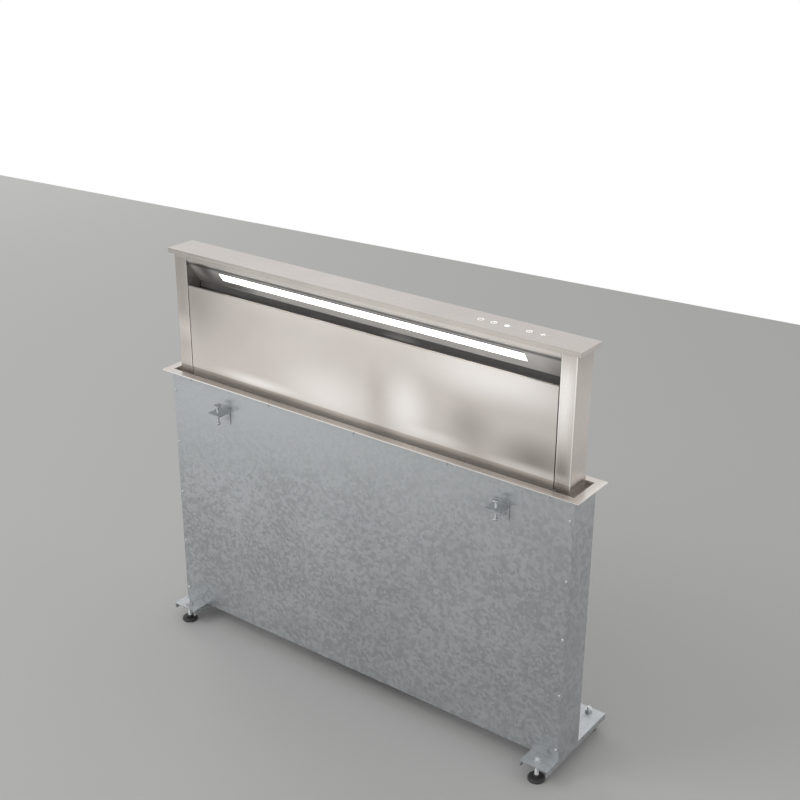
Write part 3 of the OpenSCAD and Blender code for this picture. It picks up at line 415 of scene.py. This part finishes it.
def galvanised():
    """Zinc-coated sheet with a quiet spangle."""
    finish = Finish("galvanised", (0.50, 0.52, 0.54), metallic=0.85, roughness=0.45)
    bend = finish.node("TexNoise", [("Vector", finish.place()), ("Scale", BEND_SCALE), ("Detail", 2.0)])
    bent = finish.mix("LINEAR_LIGHT", BEND_REACH, finish.place(), bend.outputs["Color"])
    cells = finish.node("TexVoronoi", [("Vector", bent), ("Scale", SPANGLE_SCALE)])
    grey = finish.node("SeparateColor", [("Color", cells.outputs["Color"])]).outputs[0]
    dull = finish.noise(5.0, detail=4.0)
    dulled = finish.span(dull, 0.0, 1.0 - SPANGLE_SHARE, 0.3, 0.7)
    tone = finish.maths("ADD", finish.span(grey, 0.0, SPANGLE_SHARE), dulled)
    finish.drive("Base Color", finish.drift(tone, (0.47, 0.49, 0.505), (0.56, 0.58, 0.595), 0.1, 0.9))
    finish.drive("Roughness", finish.span(tone, 0.34, 0.52))
    finish.drive("Normal", finish.bump(dull, 0.05 * MM))
    return keep(finish)


galvanised()
print("spangle about", round(1 / SPANGLE_SCALE / MM), "mm across")

# %% [markdown]
# Fasteners and shafts are turned or rolled steel with a thin zinc plate: brighter than the sheets,
# with faint stains, a very fine skin and a hint of blue. Castings are the opposite: soft grey
# aluminium with a pebbled skin from the die. The lift nuts are milled brass, with fine cuts along Y.

# %% Plated bars, castings and brass
def plated_steel():
    """Bright zinc plate on turned bars and fasteners."""
    finish = Finish("plated_steel", (0.66, 0.67, 0.68), metallic=1.0, roughness=0.28)
    stains = finish.noise(60.0, detail=4.0)
    skin = finish.noise(1400.0)
    finish.drive("Base Color", finish.drift(stains, (0.58, 0.59, 0.61), (0.72, 0.73, 0.73)))
    finish.drive("Roughness", finish.span(stains, 0.22, 0.38))
    finish.drive("Normal", finish.bump(skin, 0.01 * MM))
    return keep(finish)


def cast_aluminium():
    """Die-cast aluminium with a pebbled skin."""
    finish = Finish("cast_aluminium", (0.55, 0.56, 0.57), metallic=0.9, roughness=0.5)
    skin = finish.noise(900.0, detail=3.0)
    flow = finish.noise(25.0, detail=3.0)
    finish.drive("Base Color", finish.drift(flow, (0.49, 0.50, 0.51), (0.60, 0.61, 0.62)))
    finish.drive("Roughness", finish.span(flow, 0.44, 0.58))
    finish.drive("Normal", finish.bump(skin, 0.08 * MM))
    return keep(finish)


def machined_brass():
    """Milled brass of the lift nuts."""
    finish = Finish("machined_brass", (0.62, 0.46, 0.22), metallic=1.0, roughness=0.3)
    cuts = scratches(finish, "Y")
    finish.drive("Base Color", finish.drift(cuts, (0.56, 0.40, 0.18), (0.68, 0.52, 0.27), 0.2, 0.8))
    finish.drive("Roughness", finish.span(cuts, 0.24, 0.36))
    finish.drive("Normal", finish.bump(cuts, SCRATCH_DEPTH))
    return keep(finish)


plated_steel()
cast_aluminium()
machined_brass()
print("finishes so far:", len(FINISHES))

# %% [markdown]
# Black coatings, plastics and rubber are all dark, and differ in how they scatter light. Powder coat
# has an orange-peel skin with a soft gloss, moulded plastic a fine even grain, rubber a dull bloom.
# So one recipe makes them all, and each row of the table gives it the two shades between which the
# colour drifts, the roughness, and the scale and depth of the skin.

# %% Coats, plastics and rubber
COAT_CLOUDS = 12.0
COATS = {
    "powder_black": ((0.022, 0.022, 0.022), (0.040, 0.040, 0.039), 0.42, 700.0, 0.05 * MM),
    "filter_coat": ((0.085, 0.083, 0.080), (0.115, 0.112, 0.108), 0.36, 900.0, 0.03 * MM),
    "motor_black": ((0.030, 0.030, 0.034), (0.050, 0.050, 0.056), 0.30, 500.0, 0.04 * MM),
    "plastic_black": ((0.035, 0.035, 0.036), (0.055, 0.055, 0.056), 0.50, 1500.0, 0.03 * MM),
    "plastic_white": ((0.74, 0.74, 0.71), (0.82, 0.82, 0.80), 0.45, 1500.0, 0.02 * MM),
    "rubber_black": ((0.030, 0.030, 0.032), (0.055, 0.055, 0.057), 0.68, 1100.0, 0.05 * MM),
}


def skinned(name, dark, light, roughness, skin_scale, skin_depth):
    """A coat or plastic: colour drifts from dark to light, and a skin of bumps breaks up the gloss."""
    finish = Finish(name, light, roughness=roughness)
    clouds = finish.noise(COAT_CLOUDS, detail=4.0)
    finish.drive("Base Color", finish.drift(clouds, dark, light))
    finish.drive("Roughness", finish.span(clouds, roughness - 0.05, roughness + 0.07))
    finish.drive("Normal", finish.bump(finish.noise(skin_scale), skin_depth))
    return keep(finish)


for name, settings in COATS.items():
    skinned(name, *settings)
print("finishes so far:", len(FINISHES))

# %% [markdown]
# The channel at the foot of the slot shows as a dark, even band between the sloping sheet and the panel. The
# lamps reach its middle more than its ends, so painted light makes the ends of its coat lighter. One more
# patch of painted light makes it a little lighter right of the middle.

# %% The dark band in the slot
BAND_DARK = (0.030, 0.029, 0.028)
# The lighter colour is reached only where patches paint light on the band.
BAND_LIT_COLOUR = (0.260, 0.255, 0.247)
BAND_TONE = 0.052
BAND_DRIFT = 0.02
# Painted light on the band: most at the left end, a little at the right end and right of the middle.
BAND_PAINTED_LIGHT = [
    ((-0.520, 0.225), (0.195, 0.300), 0.69),
    ((0.520, 0.225), (0.100, 0.300), 0.15),
    ((0.090, 0.216), (0.065, 0.024), 0.32),
]


def band_coat_painted_light():
    """A dark coat with patches of painted light."""
    finish = Finish("band_coat_painted_light", BAND_DARK, roughness=0.45)
    clouds = finish.noise(COAT_CLOUDS, detail=4.0)
    tone = finish.span(clouds, BAND_TONE - BAND_DRIFT, BAND_TONE + BAND_DRIFT)
    value = add_painted_patches(finish, tone, BAND_PAINTED_LIGHT)
    finish.drive("Base Color", finish.drift(value, BAND_DARK, BAND_LIT_COLOUR, 0.0, 1.0))
    finish.drive("Roughness", finish.span(clouds, 0.40, 0.52))
    finish.drive("Normal", finish.bump(finish.noise(900.0), 0.03 * MM))
    return keep(finish)


band_coat_painted_light()
print("finishes so far:", len(FINISHES))

# %% [markdown]
# The light strip is an opal acrylic cover with light chips behind it. It glows evenly and pure white in the
# photograph, so the cover itself gives the light, strong enough to light the sloping sheet round it. The lit
# strip ends a little below the upper edge of its window there, so the cover's top stays unlit, and a painted
# grey shade darkens it. The five touch symbols are lit print and glow far more softly.

# %% Lit plastics
OPAL = (0.90, 0.90, 0.88)
# The grey painted on the unlit top of the cover as shade.
RIM_PAINTED_SHADE = (0.30, 0.30, 0.29, 1.0)
UNLIT = (0.0, 0.0, 0.0, 1.0)
# The height above which the cover gives no light, 6 mm below the upper edge of its window.
OPAL_RIM = 0.2729
RIM_FADE = 0.6 * MM
DIMMER = 0.96


def lit_plastic(name, glow, strength, roughness, rim=None):
    """Opal plastic that gives a slightly uneven light, and above its rim, if it has one, no light and a
    painted grey shade.
    """
    finish = Finish(name, OPAL, roughness=roughness)
    uneven = finish.noise(30.0, detail=1.0)
    light = finish.drift(uneven, [DIMMER * part for part in glow], glow, 0.0, 1.0)
    if rim is not None:
        height = finish.node("SeparateXYZ", [("Vector", finish.place())]).outputs["Z"]
        lit = finish.span(height, 1.0, 0.0, rim, rim + RIM_FADE)
        finish.drive("Base Color", finish.mix("MIX", lit, RIM_PAINTED_SHADE, (*OPAL, 1.0)))
        light = finish.mix("MIX", lit, UNLIT, light)
    finish.drive("Emission Color", light)
    finish.fix("Emission Strength", strength)
    finish.drive("Roughness", finish.span(uneven, roughness - 0.04, roughness + 0.04))
    return keep(finish)


lit_plastic("opal_lit", (1.0, 1.0, 0.98), 4.0, 0.35, OPAL_RIM)
lit_plastic("print_lit", (1.0, 1.0, 1.0), 0.5, 0.30)
print("finishes so far:", len(FINISHES))

# %% [markdown]
# A circuit board is glass fibre under a green solder mask, with copper tracks that show as slightly
# lighter lines. A brick pattern with thin, light mortar gives lines that turn at right angles, as
# tracks do.

# %% Circuit board
# The brick pattern lies in X and Y, so this turns it upright.
UPRIGHT = (math.pi / 2, 0.0, 0.0)


def circuit_board():
    """Green solder mask over a pattern of tracks."""
    finish = Finish("circuit_board", (0.02, 0.16, 0.07), roughness=0.35)
    turned = finish.node("Mapping", [("Vector", finish.place()), ("Rotation", UPRIGHT)]).outputs[0]
    tracks = finish.node("TexBrick", [
        ("Vector", turned), ("Scale", 60.0), ("Mortar Size", 0.012), ("Mortar Smooth", 0.2),
        ("Color1", (0.015, 0.13, 0.055, 1.0)), ("Color2", (0.02, 0.17, 0.075, 1.0)),
        ("Mortar", (0.06, 0.34, 0.16, 1.0))])
    finish.drive("Base Color", tracks.outputs["Color"])
    finish.drive("Roughness", finish.span(finish.noise(40.0), 0.28, 0.42))
    finish.drive("Normal", finish.bump(tracks.outputs["Fac"], 0.03 * MM))
    return keep(finish)


circuit_board()
print("all finishes:", ", ".join(FINISHES))

# %% [markdown]
# Each solid now takes its finish. A finish belongs to a kind of piece, so the table below lists the
# pieces of each kind. Long sheets are brushed along X, the posts along Z.

# %% Dress the solids
DRESS = {
    "steel_long": ["rear_panel", "column_sill"],
    "steel_header": ["header_rail"],
    "steel_cap": ["cap"],
    "steel_flange": ["worktop_flange"],
    "steel_upright": ["left_post", "right_post"],
    "steel_panel": ["front_panel"],
    "steel_polished": ["light_baffle"],
    "galvanised": [
        "housing_front", "housing_rear", "housing_left_end", "housing_right_end", "housing_base",
        "guide_rail_left", "guide_rail_right", "worktop_clamps", "floor_brackets", "blower_box",
        "blower_cover", "outlet_spigot", "control_box", "control_cover"],
    "plated_steel": [
        "clamp_screws", "foot_nuts", "damper_pin", "housing_screws", "pivot_pins", "column_screws",
        "lead_screw_left", "lead_screw_right", "sync_shaft"],
    "steel_dull": ["guide_frame"],
    "powder_black": ["scroll", "inlet_ring"],
    "band_coat_painted_light": ["filter_top_channel"],
    "filter_coat": [
        "filter_bottom_channel", "grease_filter_left", "grease_filter_centre", "grease_filter_right"],
    "cast_aluminium": ["screw_gearboxes", "lift_gear_unit", "blower_motor"],
    "motor_black": ["lift_motor"],
    "plastic_black": ["limit_sensors", "mains_gland", "panel_catches", "impeller", "levelling_feet"],
    "plastic_white": ["slide_shoes", "damper_flap_front", "damper_flap_rear"],
    "opal_lit": ["light_diffuser"],
    "circuit_board": ["power_board", "touch_board", "led_board"],
    "print_lit": ["touch_symbols"],
    "rubber_black": ["flange_gasket", "column_seal"],
    "machined_brass": ["screw_nuts"],
}


def wear(piece, finish):
    """Gives a piece one finish all over."""
    piece.data.materials.clear()
    piece.data.materials.append(FINISHES[finish])


for finish_name, names in DRESS.items():
    for name in names:
        wear(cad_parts[name], finish_name)
bare = set(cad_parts) - {name for names in DRESS.values() for name in names}
print("solids without a finish:", sorted(bare))

# %% [markdown]
# Folded sheet has no razor edges: each cut and fold is rounded by a few tenths of a millimetre, and
# that thin round catches the light. A Bevel modifier adds it without touching the solid's own mesh.
# The CAD mesh has split corners, so a Weld modifier joins them first.

# %% Round the edges of the sheets
ROUNDED = {
    0.5 * MM: ["cap", "worktop_flange", "left_post", "right_post", "foot_nuts"],
    0.3 * MM: [
        "front_panel", "header_rail", "column_sill", "rear_panel", "guide_frame", "floor_brackets",
        "worktop_clamps", "blower_cover", "control_cover"],
}
WELD_REACH = 0.002 * MM
ROUND_FROM = math.radians(40)


def round_edges(piece, radius):
    """Welds the split corners of a solid and rounds every sharp edge."""
    weld = piece.modifiers.new("weld", "WELD")
    weld.merge_threshold = WELD_REACH
    bevel = piece.modifiers.new("round", "BEVEL")
    bevel.width = radius
    bevel.segments = 2
    bevel.limit_method = "ANGLE"
    bevel.angle_limit = ROUND_FROM
    bevel.use_clamp_overlap = False
    bevel.harden_normals = True


for radius, names in ROUNDED.items():
    for name in names:
        round_edges(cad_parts[name], radius)
print("rounded:", sum(len(names) for names in ROUNDED.values()), "sheets")

# %% [markdown]
# Plain rods stand in the solids for screws and threaded feet. A turned part is easy to build from
# rings: each ring has a height and a radius, and neighbouring rings are joined with faces. Where the
# radius follows the turn as well, the same rings make a thread, a hexagon or the ribs of a gland.
# The pieces are placed by the boxes of the solids that they replace, so nothing is fitted by eye.

# %% Turned shapes
SHARP = math.radians(35)


class Turned:
    """A mesh that turned solids are added to, one after the other."""

    def __init__(self):
        self.shape = bmesh.new()

    def add(self, rings, place, direction=(0.0, 0.0, 1.0), steps=24, bored=False):
        """Adds one solid of (height, radius) rings; bored joins the last ring to the first."""
        turned = Vector(direction).to_track_quat("Z", "Y").to_matrix().to_4x4()
        at = Matrix.Translation(place) @ turned
        loops = []
        for height, radius in rings:
            loop = []
            for step in range(steps):
                turn = 2 * math.pi * step / steps
                reach = radius(turn) if callable(radius) else radius
                spot = Vector((reach * math.cos(turn), reach * math.sin(turn), height))
                loop.append(self.shape.verts.new(at @ spot))
            loops.append(loop)
        pairs = list(zip(loops, loops[1:]))
        if bored:
            pairs.append((loops[-1], loops[0]))
        else:
            self.shape.faces.new(loops[0][::-1])
            self.shape.faces.new(loops[-1])
        for below, above in pairs:
            for step in range(steps):
                after = (step + 1) % steps
                self.shape.faces.new((below[step], below[after], above[after], above[step]))

    def piece(self, name, finish, body, slot, *replaced):
        """Makes the mesh a piece that rides on body and stands for the replaced solids."""
        for face in self.shape.faces:
            face.smooth = True
        for edge in self.shape.edges:
            edge.smooth = edge.calc_face_angle(0.0) < SHARP
        mesh = bpy.data.meshes.new(name)
        self.shape.to_mesh(mesh)
        self.shape.free()
        made = bpy.data.objects.new(name, mesh)
        bpy.context.scene.collection.objects.link(made)
        wear(made, finish)
        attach(made, body)
        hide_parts(*replaced)
        print(name, "has", len(mesh.polygons), "faces")


print("faces that meet under", round(math.degrees(SHARP)), "degrees look round")

# %% [markdown]
# The shapes that come back on several pieces are the hexagon and the thread. A thread is a stack of
# rings whose groove lies a little further round on each ring. Identical fasteners share one node, so
# one more function takes a node apart into its separate solids, to find where each fastener stands.

# %% Hexagons, threads and places
SAME_SPOT = 0.001 * MM


def hexagon(across_flats):
    """The radius of a hexagon at each turn."""
    side = math.pi / 3
    return lambda turn: across_flats / 2 / math.cos(turn % side - side / 2)


def hex_rings(across_flats, low, high, chamfer):
    """Rings of a hexagonal head or nut with chamfered ends."""
    full = hexagon(across_flats)
    eased = hexagon(across_flats - 2 * chamfer)
    return [(low, eased), (low + chamfer, full), (high - chamfer, full), (high, eased)]


def thread(radius, low, high, pitch, depth, starts=1, rings_each=6):
    """Rings of a right-handed thread whose groove fades out at both ends."""
    count = round((high - low) / pitch * rings_each)
    rings = []
    for ring in range(count + 1):
        height = low + (high - low) * ring / count
        fade = min(1.0, (height - low) / pitch, (high - height) / pitch)

        def reach(turn, height=height, fade=fade):
            phase = (height / pitch - starts * turn / (2 * math.pi)) % 1.0
            return radius - depth * fade * (1.0 - abs(2.0 * phase - 1.0))

        rings.append((height, reach))
    return rings


def lumps(node):
    """The separate solids inside one node, as (lowest corner, highest corner)."""
    shape = bmesh.new()
    shape.from_mesh(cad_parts[node].data)
    bmesh.ops.remove_doubles(shape, verts=shape.verts, dist=SAME_SPOT)
    waiting = set(shape.verts)
    found = []
    while waiting:
        group = [waiting.pop()]
        for vert in group:
            near = {edge.other_vert(vert) for edge in vert.link_edges} & waiting
            waiting -= near
            group.extend(near)
        spots = [vert.co for vert in group]
        low = Vector([min(spot[axis] for spot in spots) for axis in range(3)])
        high = Vector([max(spot[axis] for spot in spots) for axis in range(3)])
        found.append((low, high))
    shape.free()
    return sorted(found, key=lambda corners: tuple(corners[0]))


def stance(low, high):
    """The middle of a box's underside, and the height of the box."""
    middle = (low + high) / 2
    return (middle.x, middle.y, low.z), high.z - low.z


print("feet found:", len(lumps("levelling_feet")), "of 4")

# %% [markdown]
# Each lifting screw is a multi-start thread: five grooves side by side, so that one turn lifts the
# column by 25 mm. A plain collar carries the load on the gearbox, and a smooth journal below it
# runs down to the gears.

# %% Lifting screws
LIFT_PITCH = 5 * MM
LIFT_STARTS = 5
LIFT_DEPTH = 0.9 * MM
LIFT_RINGS = 8
COLLAR_GAP = 0.3 * MM
COLLAR_HEIGHT = 4 * MM
PLAIN_END = 4 * MM
ROD_RADIUS = 6 * MM
COLLAR_RADIUS = 9 * MM
END_EASE = 0.5 * MM


def lifting_screw(side):
    """The threaded screw in one end of the housing."""
    low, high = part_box("lead_screw_" + side)
    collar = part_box("screw_gearboxes")[1].z + COLLAR_GAP
    start = collar + COLLAR_HEIGHT
    rings = [
        (low.z, ROD_RADIUS - END_EASE), (low.z + END_EASE, ROD_RADIUS), (collar, ROD_RADIUS),
        (collar, COLLAR_RADIUS - END_EASE), (collar + END_EASE, COLLAR_RADIUS),
        (start - END_EASE, COLLAR_RADIUS), (start, COLLAR_RADIUS - END_EASE), (start, ROD_RADIUS)]
    rings += thread(
        ROD_RADIUS, start + PLAIN_END, high.z - PLAIN_END, LIFT_PITCH, LIFT_DEPTH, LIFT_STARTS, LIFT_RINGS)
    rings += [(high.z - END_EASE, ROD_RADIUS), (high.z, ROD_RADIUS - END_EASE)]
    middle = (low + high) / 2
    screw = Turned()
    screw.add(rings, (middle.x, middle.y, 0.0))
    screw.piece("lift_thread_" + side, "plated_steel", "screw_" + side, "bright_steel", "lead_screw_" + side)


lifting_screw("left")
lifting_screw("right")

# %% [markdown]
# A levelling foot is a plastic pad with a rounded rim and a hexagon for the spanner, moulded round a
# threaded steel stud. Pad and stud have different finishes, so they are two pieces, and together
# they stand for one node.

# %% Levelling feet
PAD_HEIGHT = 8 * MM
PAD_HEX = 15 * MM
PAD_HEX_TOP = PAD_HEIGHT + 5 * MM
PAD_HEX_EASE = 0.8 * MM
STUD_RADIUS = 5 * MM
STUD_PITCH = 1.5 * MM
STUD_DEPTH = 0.6 * MM
# The pad's outline, as shares of its height and of its radius.
PAD_RIM = [(0.0, 0.93), (0.07, 0.98), (0.2, 1.0), (0.58, 1.0), (0.8, 0.965), (0.93, 0.88), (1.0, 0.74)]

pads = Turned()
studs = Turned()
for low, high in lumps("levelling_feet"):
    spot, top = stance(low, high)
    radius = (high.x - low.x) / 2
    pads.add([(PAD_HEIGHT * up, radius * out) for up, out in PAD_RIM], spot, steps=40)
    pads.add(hex_rings(PAD_HEX, PAD_HEIGHT - END_EASE, PAD_HEX_TOP, PAD_HEX_EASE), spot)
    turns = thread(STUD_RADIUS, PAD_HEIGHT, top - END_EASE, STUD_PITCH, STUD_DEPTH)
    studs.add(turns + [(top, STUD_RADIUS - 2 * END_EASE)], spot)
pads.piece("foot_pads", "plastic_black", "housing", "black_plastic", "levelling_feet")
studs.piece("foot_studs", "plated_steel", "housing", "bright_steel", "levelling_feet")

# %% [markdown]
# Four clamps hold the vent to the worktop. The fitter turns a hexagon at the foot of each clamp
# screw, and a swivelling disc at its top presses on the underside of the worktop.

# %% Clamp screws
CLAMP_RADIUS = 3 * MM
CLAMP_PITCH = 1 * MM
CLAMP_DEPTH = 0.45 * MM
CLAMP_HEAD = 6 * MM
CLAMP_HEAD_FLATS = 10.4 * MM
CLAMP_HEAD_EASE = 0.7 * MM
CLAMP_DISC = 4 * MM
DISC_EASE = 1 * MM

clamps = Turned()
for low, high in lumps("clamp_screws"):
    spot, top = stance(low, high)
    disc = (high.x - low.x) / 2
    shoulder = top - CLAMP_DISC
    turns = thread(CLAMP_RADIUS, CLAMP_HEAD, shoulder, CLAMP_PITCH, CLAMP_DEPTH)
    clamps.add(hex_rings(CLAMP_HEAD_FLATS, 0.0, CLAMP_HEAD, CLAMP_HEAD_EASE), spot)
    clamps.add(turns, spot, steps=16)
    clamps.add([
        (shoulder, CLAMP_RADIUS), (shoulder, disc - DISC_EASE), (shoulder + DISC_EASE, disc),
        (top - END_EASE, disc), (top, disc - END_EASE)], spot, steps=32)
clamps.piece("clamp_threads", "plated_steel", "housing", "bright_steel", "clamp_screws")

# %% [markdown]
# The sheets are joined with small button-head screws. Each has a domed head and a hexagonal socket
# for the key. The head points outwards on the housing, so its side follows from where the screw is,
# and inwards on the column's posts, where only the shank passes through.

# %% Button-head screws
HEAD_HEIGHT = 2.2 * MM
HEAD_RADIUS = 3.8 * MM
SHANK_RADIUS = 2 * MM
SOCKET = 2.5 * MM
SOCKET_DEPTH = 1.3 * MM
# The head's outline, as shares of its height and of its radius.
DOME = [(0.0, 0.97), (0.15, 1.0), (0.4, 0.97), (0.65, 0.88), (0.85, 0.74), (1.0, 0.56)]


def button_screw(into, low, high, direction):
    """One screw in the box from low to high, with its head towards direction."""
    direction = Vector(direction)
    length = abs((high - low).dot(direction))
    head_end = (low + high) / 2 + direction * length / 2
    tip = HEAD_HEIGHT - length
    rings = [(tip, SHANK_RADIUS - END_EASE), (tip + END_EASE, SHANK_RADIUS), (0.0, SHANK_RADIUS)]
    rings += [(HEAD_HEIGHT * up, HEAD_RADIUS * out) for up, out in DOME]
    rings += [(HEAD_HEIGHT, hexagon(SOCKET)), (HEAD_HEIGHT - SOCKET_DEPTH, hexagon(SOCKET))]
    into.add(rings, head_end - direction * HEAD_HEIGHT, direction)


housing_heads = Turned()
for low, high in lumps("housing_screws"):
    button_screw(housing_heads, low, high, (0.0, math.copysign(1.0, (low + high).y), 0.0))
housing_heads.piece("housing_button_screws", "plated_steel", "housing", "bright_steel", "housing_screws")

column_heads = Turned()
for low, high in lumps("column_screws"):
    button_screw(column_heads, low, high, (math.copysign(1.0, -(low + high).x), 0.0, 0.0))
column_heads.piece("column_button_screws", "plated_steel", "column", "bright_steel", "column_screws")

# %% [markdown]
# The cable gland grips the supply cable where it enters the control box. Its ribbed cap is turned by
# hand, a hexagon holds it against the sheet, and a short thread passes through the wall. A bore runs
# through the middle, so it is built as a ring: the last loop of faces joins the bore to the outside.

# %% Cable gland
GLAND_BORE = 4.5 * MM
GLAND_RADIUS = 9 * MM
GLAND_OUT = 18 * MM
GLAND_NUT_LOW = GLAND_OUT - 5 * MM
GLAND_NUT_FLATS = 22.4 * MM
GLAND_NUT_EASE = 0.9 * MM
GLAND_NECK = 0.9 * GLAND_RADIUS
GLAND_PITCH = 1.5 * MM
GLAND_DEPTH = 0.6 * MM
# The rounded end of the cap, as heights and as shares of its radius.
GLAND_NOSE = [(0.0, 0.68), (1 * MM, 0.80), (2.5 * MM, 0.88)]
GLAND_RIBS = 14
RIB_DEPTH = 0.7 * MM
RIBS_START = 3.5 * MM
RIBS_STOP = GLAND_NUT_LOW - 1 * MM


def ribbed(turn):
    """The radius of the gland's cap, with finger ribs."""
    return GLAND_RADIUS - RIB_DEPTH * abs(math.sin(GLAND_RIBS * turn / 2))


spot, top = stance(*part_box("mains_gland"))
cap_rings = [(0.0, GLAND_BORE)] + [(up, out * GLAND_RADIUS) for up, out in GLAND_NOSE]
cap_rings += [(RIBS_START, ribbed), (RIBS_STOP, ribbed), (GLAND_NUT_LOW, GLAND_NECK)]
wall_rings = [(GLAND_OUT, GLAND_NECK)]
wall_rings += thread(GLAND_RADIUS, GLAND_OUT, top, GLAND_PITCH, GLAND_DEPTH)
wall_rings += [(top, GLAND_BORE)]
gland = Turned()
gland.add(cap_rings + wall_rings, spot, steps=56, bored=True)
nut = hex_rings(GLAND_NUT_FLATS, GLAND_NUT_LOW, GLAND_OUT, GLAND_NUT_EASE)
gland.add([(GLAND_NUT_LOW, GLAND_BORE)] + nut + [(GLAND_OUT, GLAND_BORE)], spot, bored=True)
gland.piece("gland_body", "plastic_black", "housing", "black_plastic", "mains_gland")

# %% [markdown]
# The object stands on its levelling feet on a plain pale floor. The floor ends behind it, along the
# slanting line where the photograph shows the edge of its pale plane, and white lies beyond. It
# reaches far to the front and to the sides, so no other edge shows.

# %% Floor
FLOOR_Z = solid_low.z
FLOOR_REACH = 80.0
FLOOR_BACK = 3.10
FLOOR_SLANT = 0.0883
FLOOR_COLOUR = (0.56, 0.56, 0.55)

floor_corners = [
    (-FLOOR_REACH, -FLOOR_REACH, FLOOR_Z), (FLOOR_REACH, -FLOOR_REACH, FLOOR_Z),
    (FLOOR_REACH, FLOOR_BACK + FLOOR_SLANT * FLOOR_REACH, FLOOR_Z),
    (-FLOOR_REACH, FLOOR_BACK - FLOOR_SLANT * FLOOR_REACH, FLOOR_Z)]
floor_mesh = bpy.data.meshes.new("floor")
floor_mesh.from_pydata(floor_corners, [], [(0, 1, 2, 3)])
floor = bpy.data.objects.new("floor", floor_mesh)
bpy.context.scene.collection.objects.link(floor)
floor_finish = Finish("floor", FLOOR_COLOUR)
floor_finish.fix("Specular IOR Level", 0.0)
floor_finish.drive("Roughness", floor_finish.span(floor_finish.noise(3.0), 0.52, 0.60))
floor_mesh.materials.append(keep(floor_finish))
print("floor at", round(FLOOR_Z, 3), "m")

# %% [markdown]
# The world is plain white to the camera, to reflections and to light that passes through. To matt
# surfaces it is dimmer, so that the lamps shape the object. The tree below asks what kind of ray is
# looking at the world, and sets its strength by the answer.

# %% World
WHITE = (1.0, 1.0, 1.0, 1.0)
WORLD_LIGHT = 0.55

world = bpy.data.worlds.new("studio")
world.use_nodes = True
bpy.context.scene.world = world
sky = world.node_tree


def either(first, second):
    """One where at least one of two values of the world's tree is one, and zero elsewhere."""
    larger = sky.nodes.new("ShaderNodeMath")
    larger.operation = "MAXIMUM"
    sky.links.new(first, larger.inputs[0])
    sky.links.new(second, larger.inputs[1])
    return larger.outputs[0]


ray = sky.nodes.new("ShaderNodeLightPath").outputs
sees_white = either(either(ray["Is Camera Ray"], ray["Is Glossy Ray"]), ray["Is Transmission Ray"])
level = sky.nodes.new("ShaderNodeMapRange")
level.inputs["To Min"].default_value = WORLD_LIGHT
level.inputs["To Max"].default_value = 1.0
sky.links.new(sees_white, level.inputs["Value"])
background = sky.nodes["Background"]
background.inputs["Color"].default_value = WHITE
sky.links.new(level.outputs[0], background.inputs["Strength"])
print("the world lights matt surfaces at", WORLD_LIGHT)

# %% [markdown]
# Steel shows what stands round it more than the lamps themselves. A large key lamp hangs high on
# the left in front, as a window would. A small one on the right lifts the end of the column, and one
# far back on the left lets the floor fade from light to darker. A narrow beam from the front reaches
# into the intake slot, where the others can't. Two low glowing cards stand on the floor, one in
# front where the panel mirrors it and one behind the right end. Only reflections show the cards, and
# reflections show none of the other lamps.

# %% Lamps
# Each lamp has its place, the point that it aims at, its width and height, its watts, and the spread
# of its light in degrees.
WIDE = 180.0
LAMPS = {
    "key": ((-2.4, -2.6, 3.0), (0.0, 0.0, 0.0), (2.4, 2.4), 46.0, WIDE),
    "side": ((2.6, 0.6, 1.6), (0.3, 0.0, 0.0), (1.2, 1.2), 4.0, WIDE),
    "back": ((-6.0, 3.0, 3.0), (-2.5, 1.0, -0.7), (3.0, 3.0), 70.0, WIDE),
    "slot_beam": ((0.05, -1.60, 0.85), (0.05, 0.0, 0.25), (0.86, 0.05), 0.21, 4.0),
    "front_card": ((-0.80, -1.30, -0.47), (-0.1, 0.0, 0.15), (1.7, 0.55), 2.4, WIDE),
    "end_card": ((1.50, 1.20, -0.35), (0.55, 0.0, 0.15), (0.9, 0.65), 0.75, WIDE),
}
for name, (place, aim, (width, height), watts, spread) in LAMPS.items():
    lamp = bpy.data.objects.new(name, bpy.data.lights.new(name, "AREA"))
    lamp.data.shape = "RECTANGLE"
    lamp.data.size = width
    lamp.data.size_y = height
    lamp.data.energy = watts
    lamp.data.spread = math.radians(spread)
    lamp.location = place
    lamp.rotation_euler = (Vector(aim) - lamp.location).to_track_quat("-Z", "Y").to_euler()
    lamp.visible_camera = False
    is_card = name.endswith("card")
    lamp.visible_glossy = is_card
    lamp.visible_diffuse = not is_card
    bpy.context.scene.collection.objects.link(lamp)
print("lamps:", ", ".join(LAMPS))

# %% [markdown]
# Last, the view transform is set to Standard, so that a colour renders as it is written.

# %% View
bpy.context.scene.view_settings.view_transform = "Standard"
bpy.context.view_layer.update()
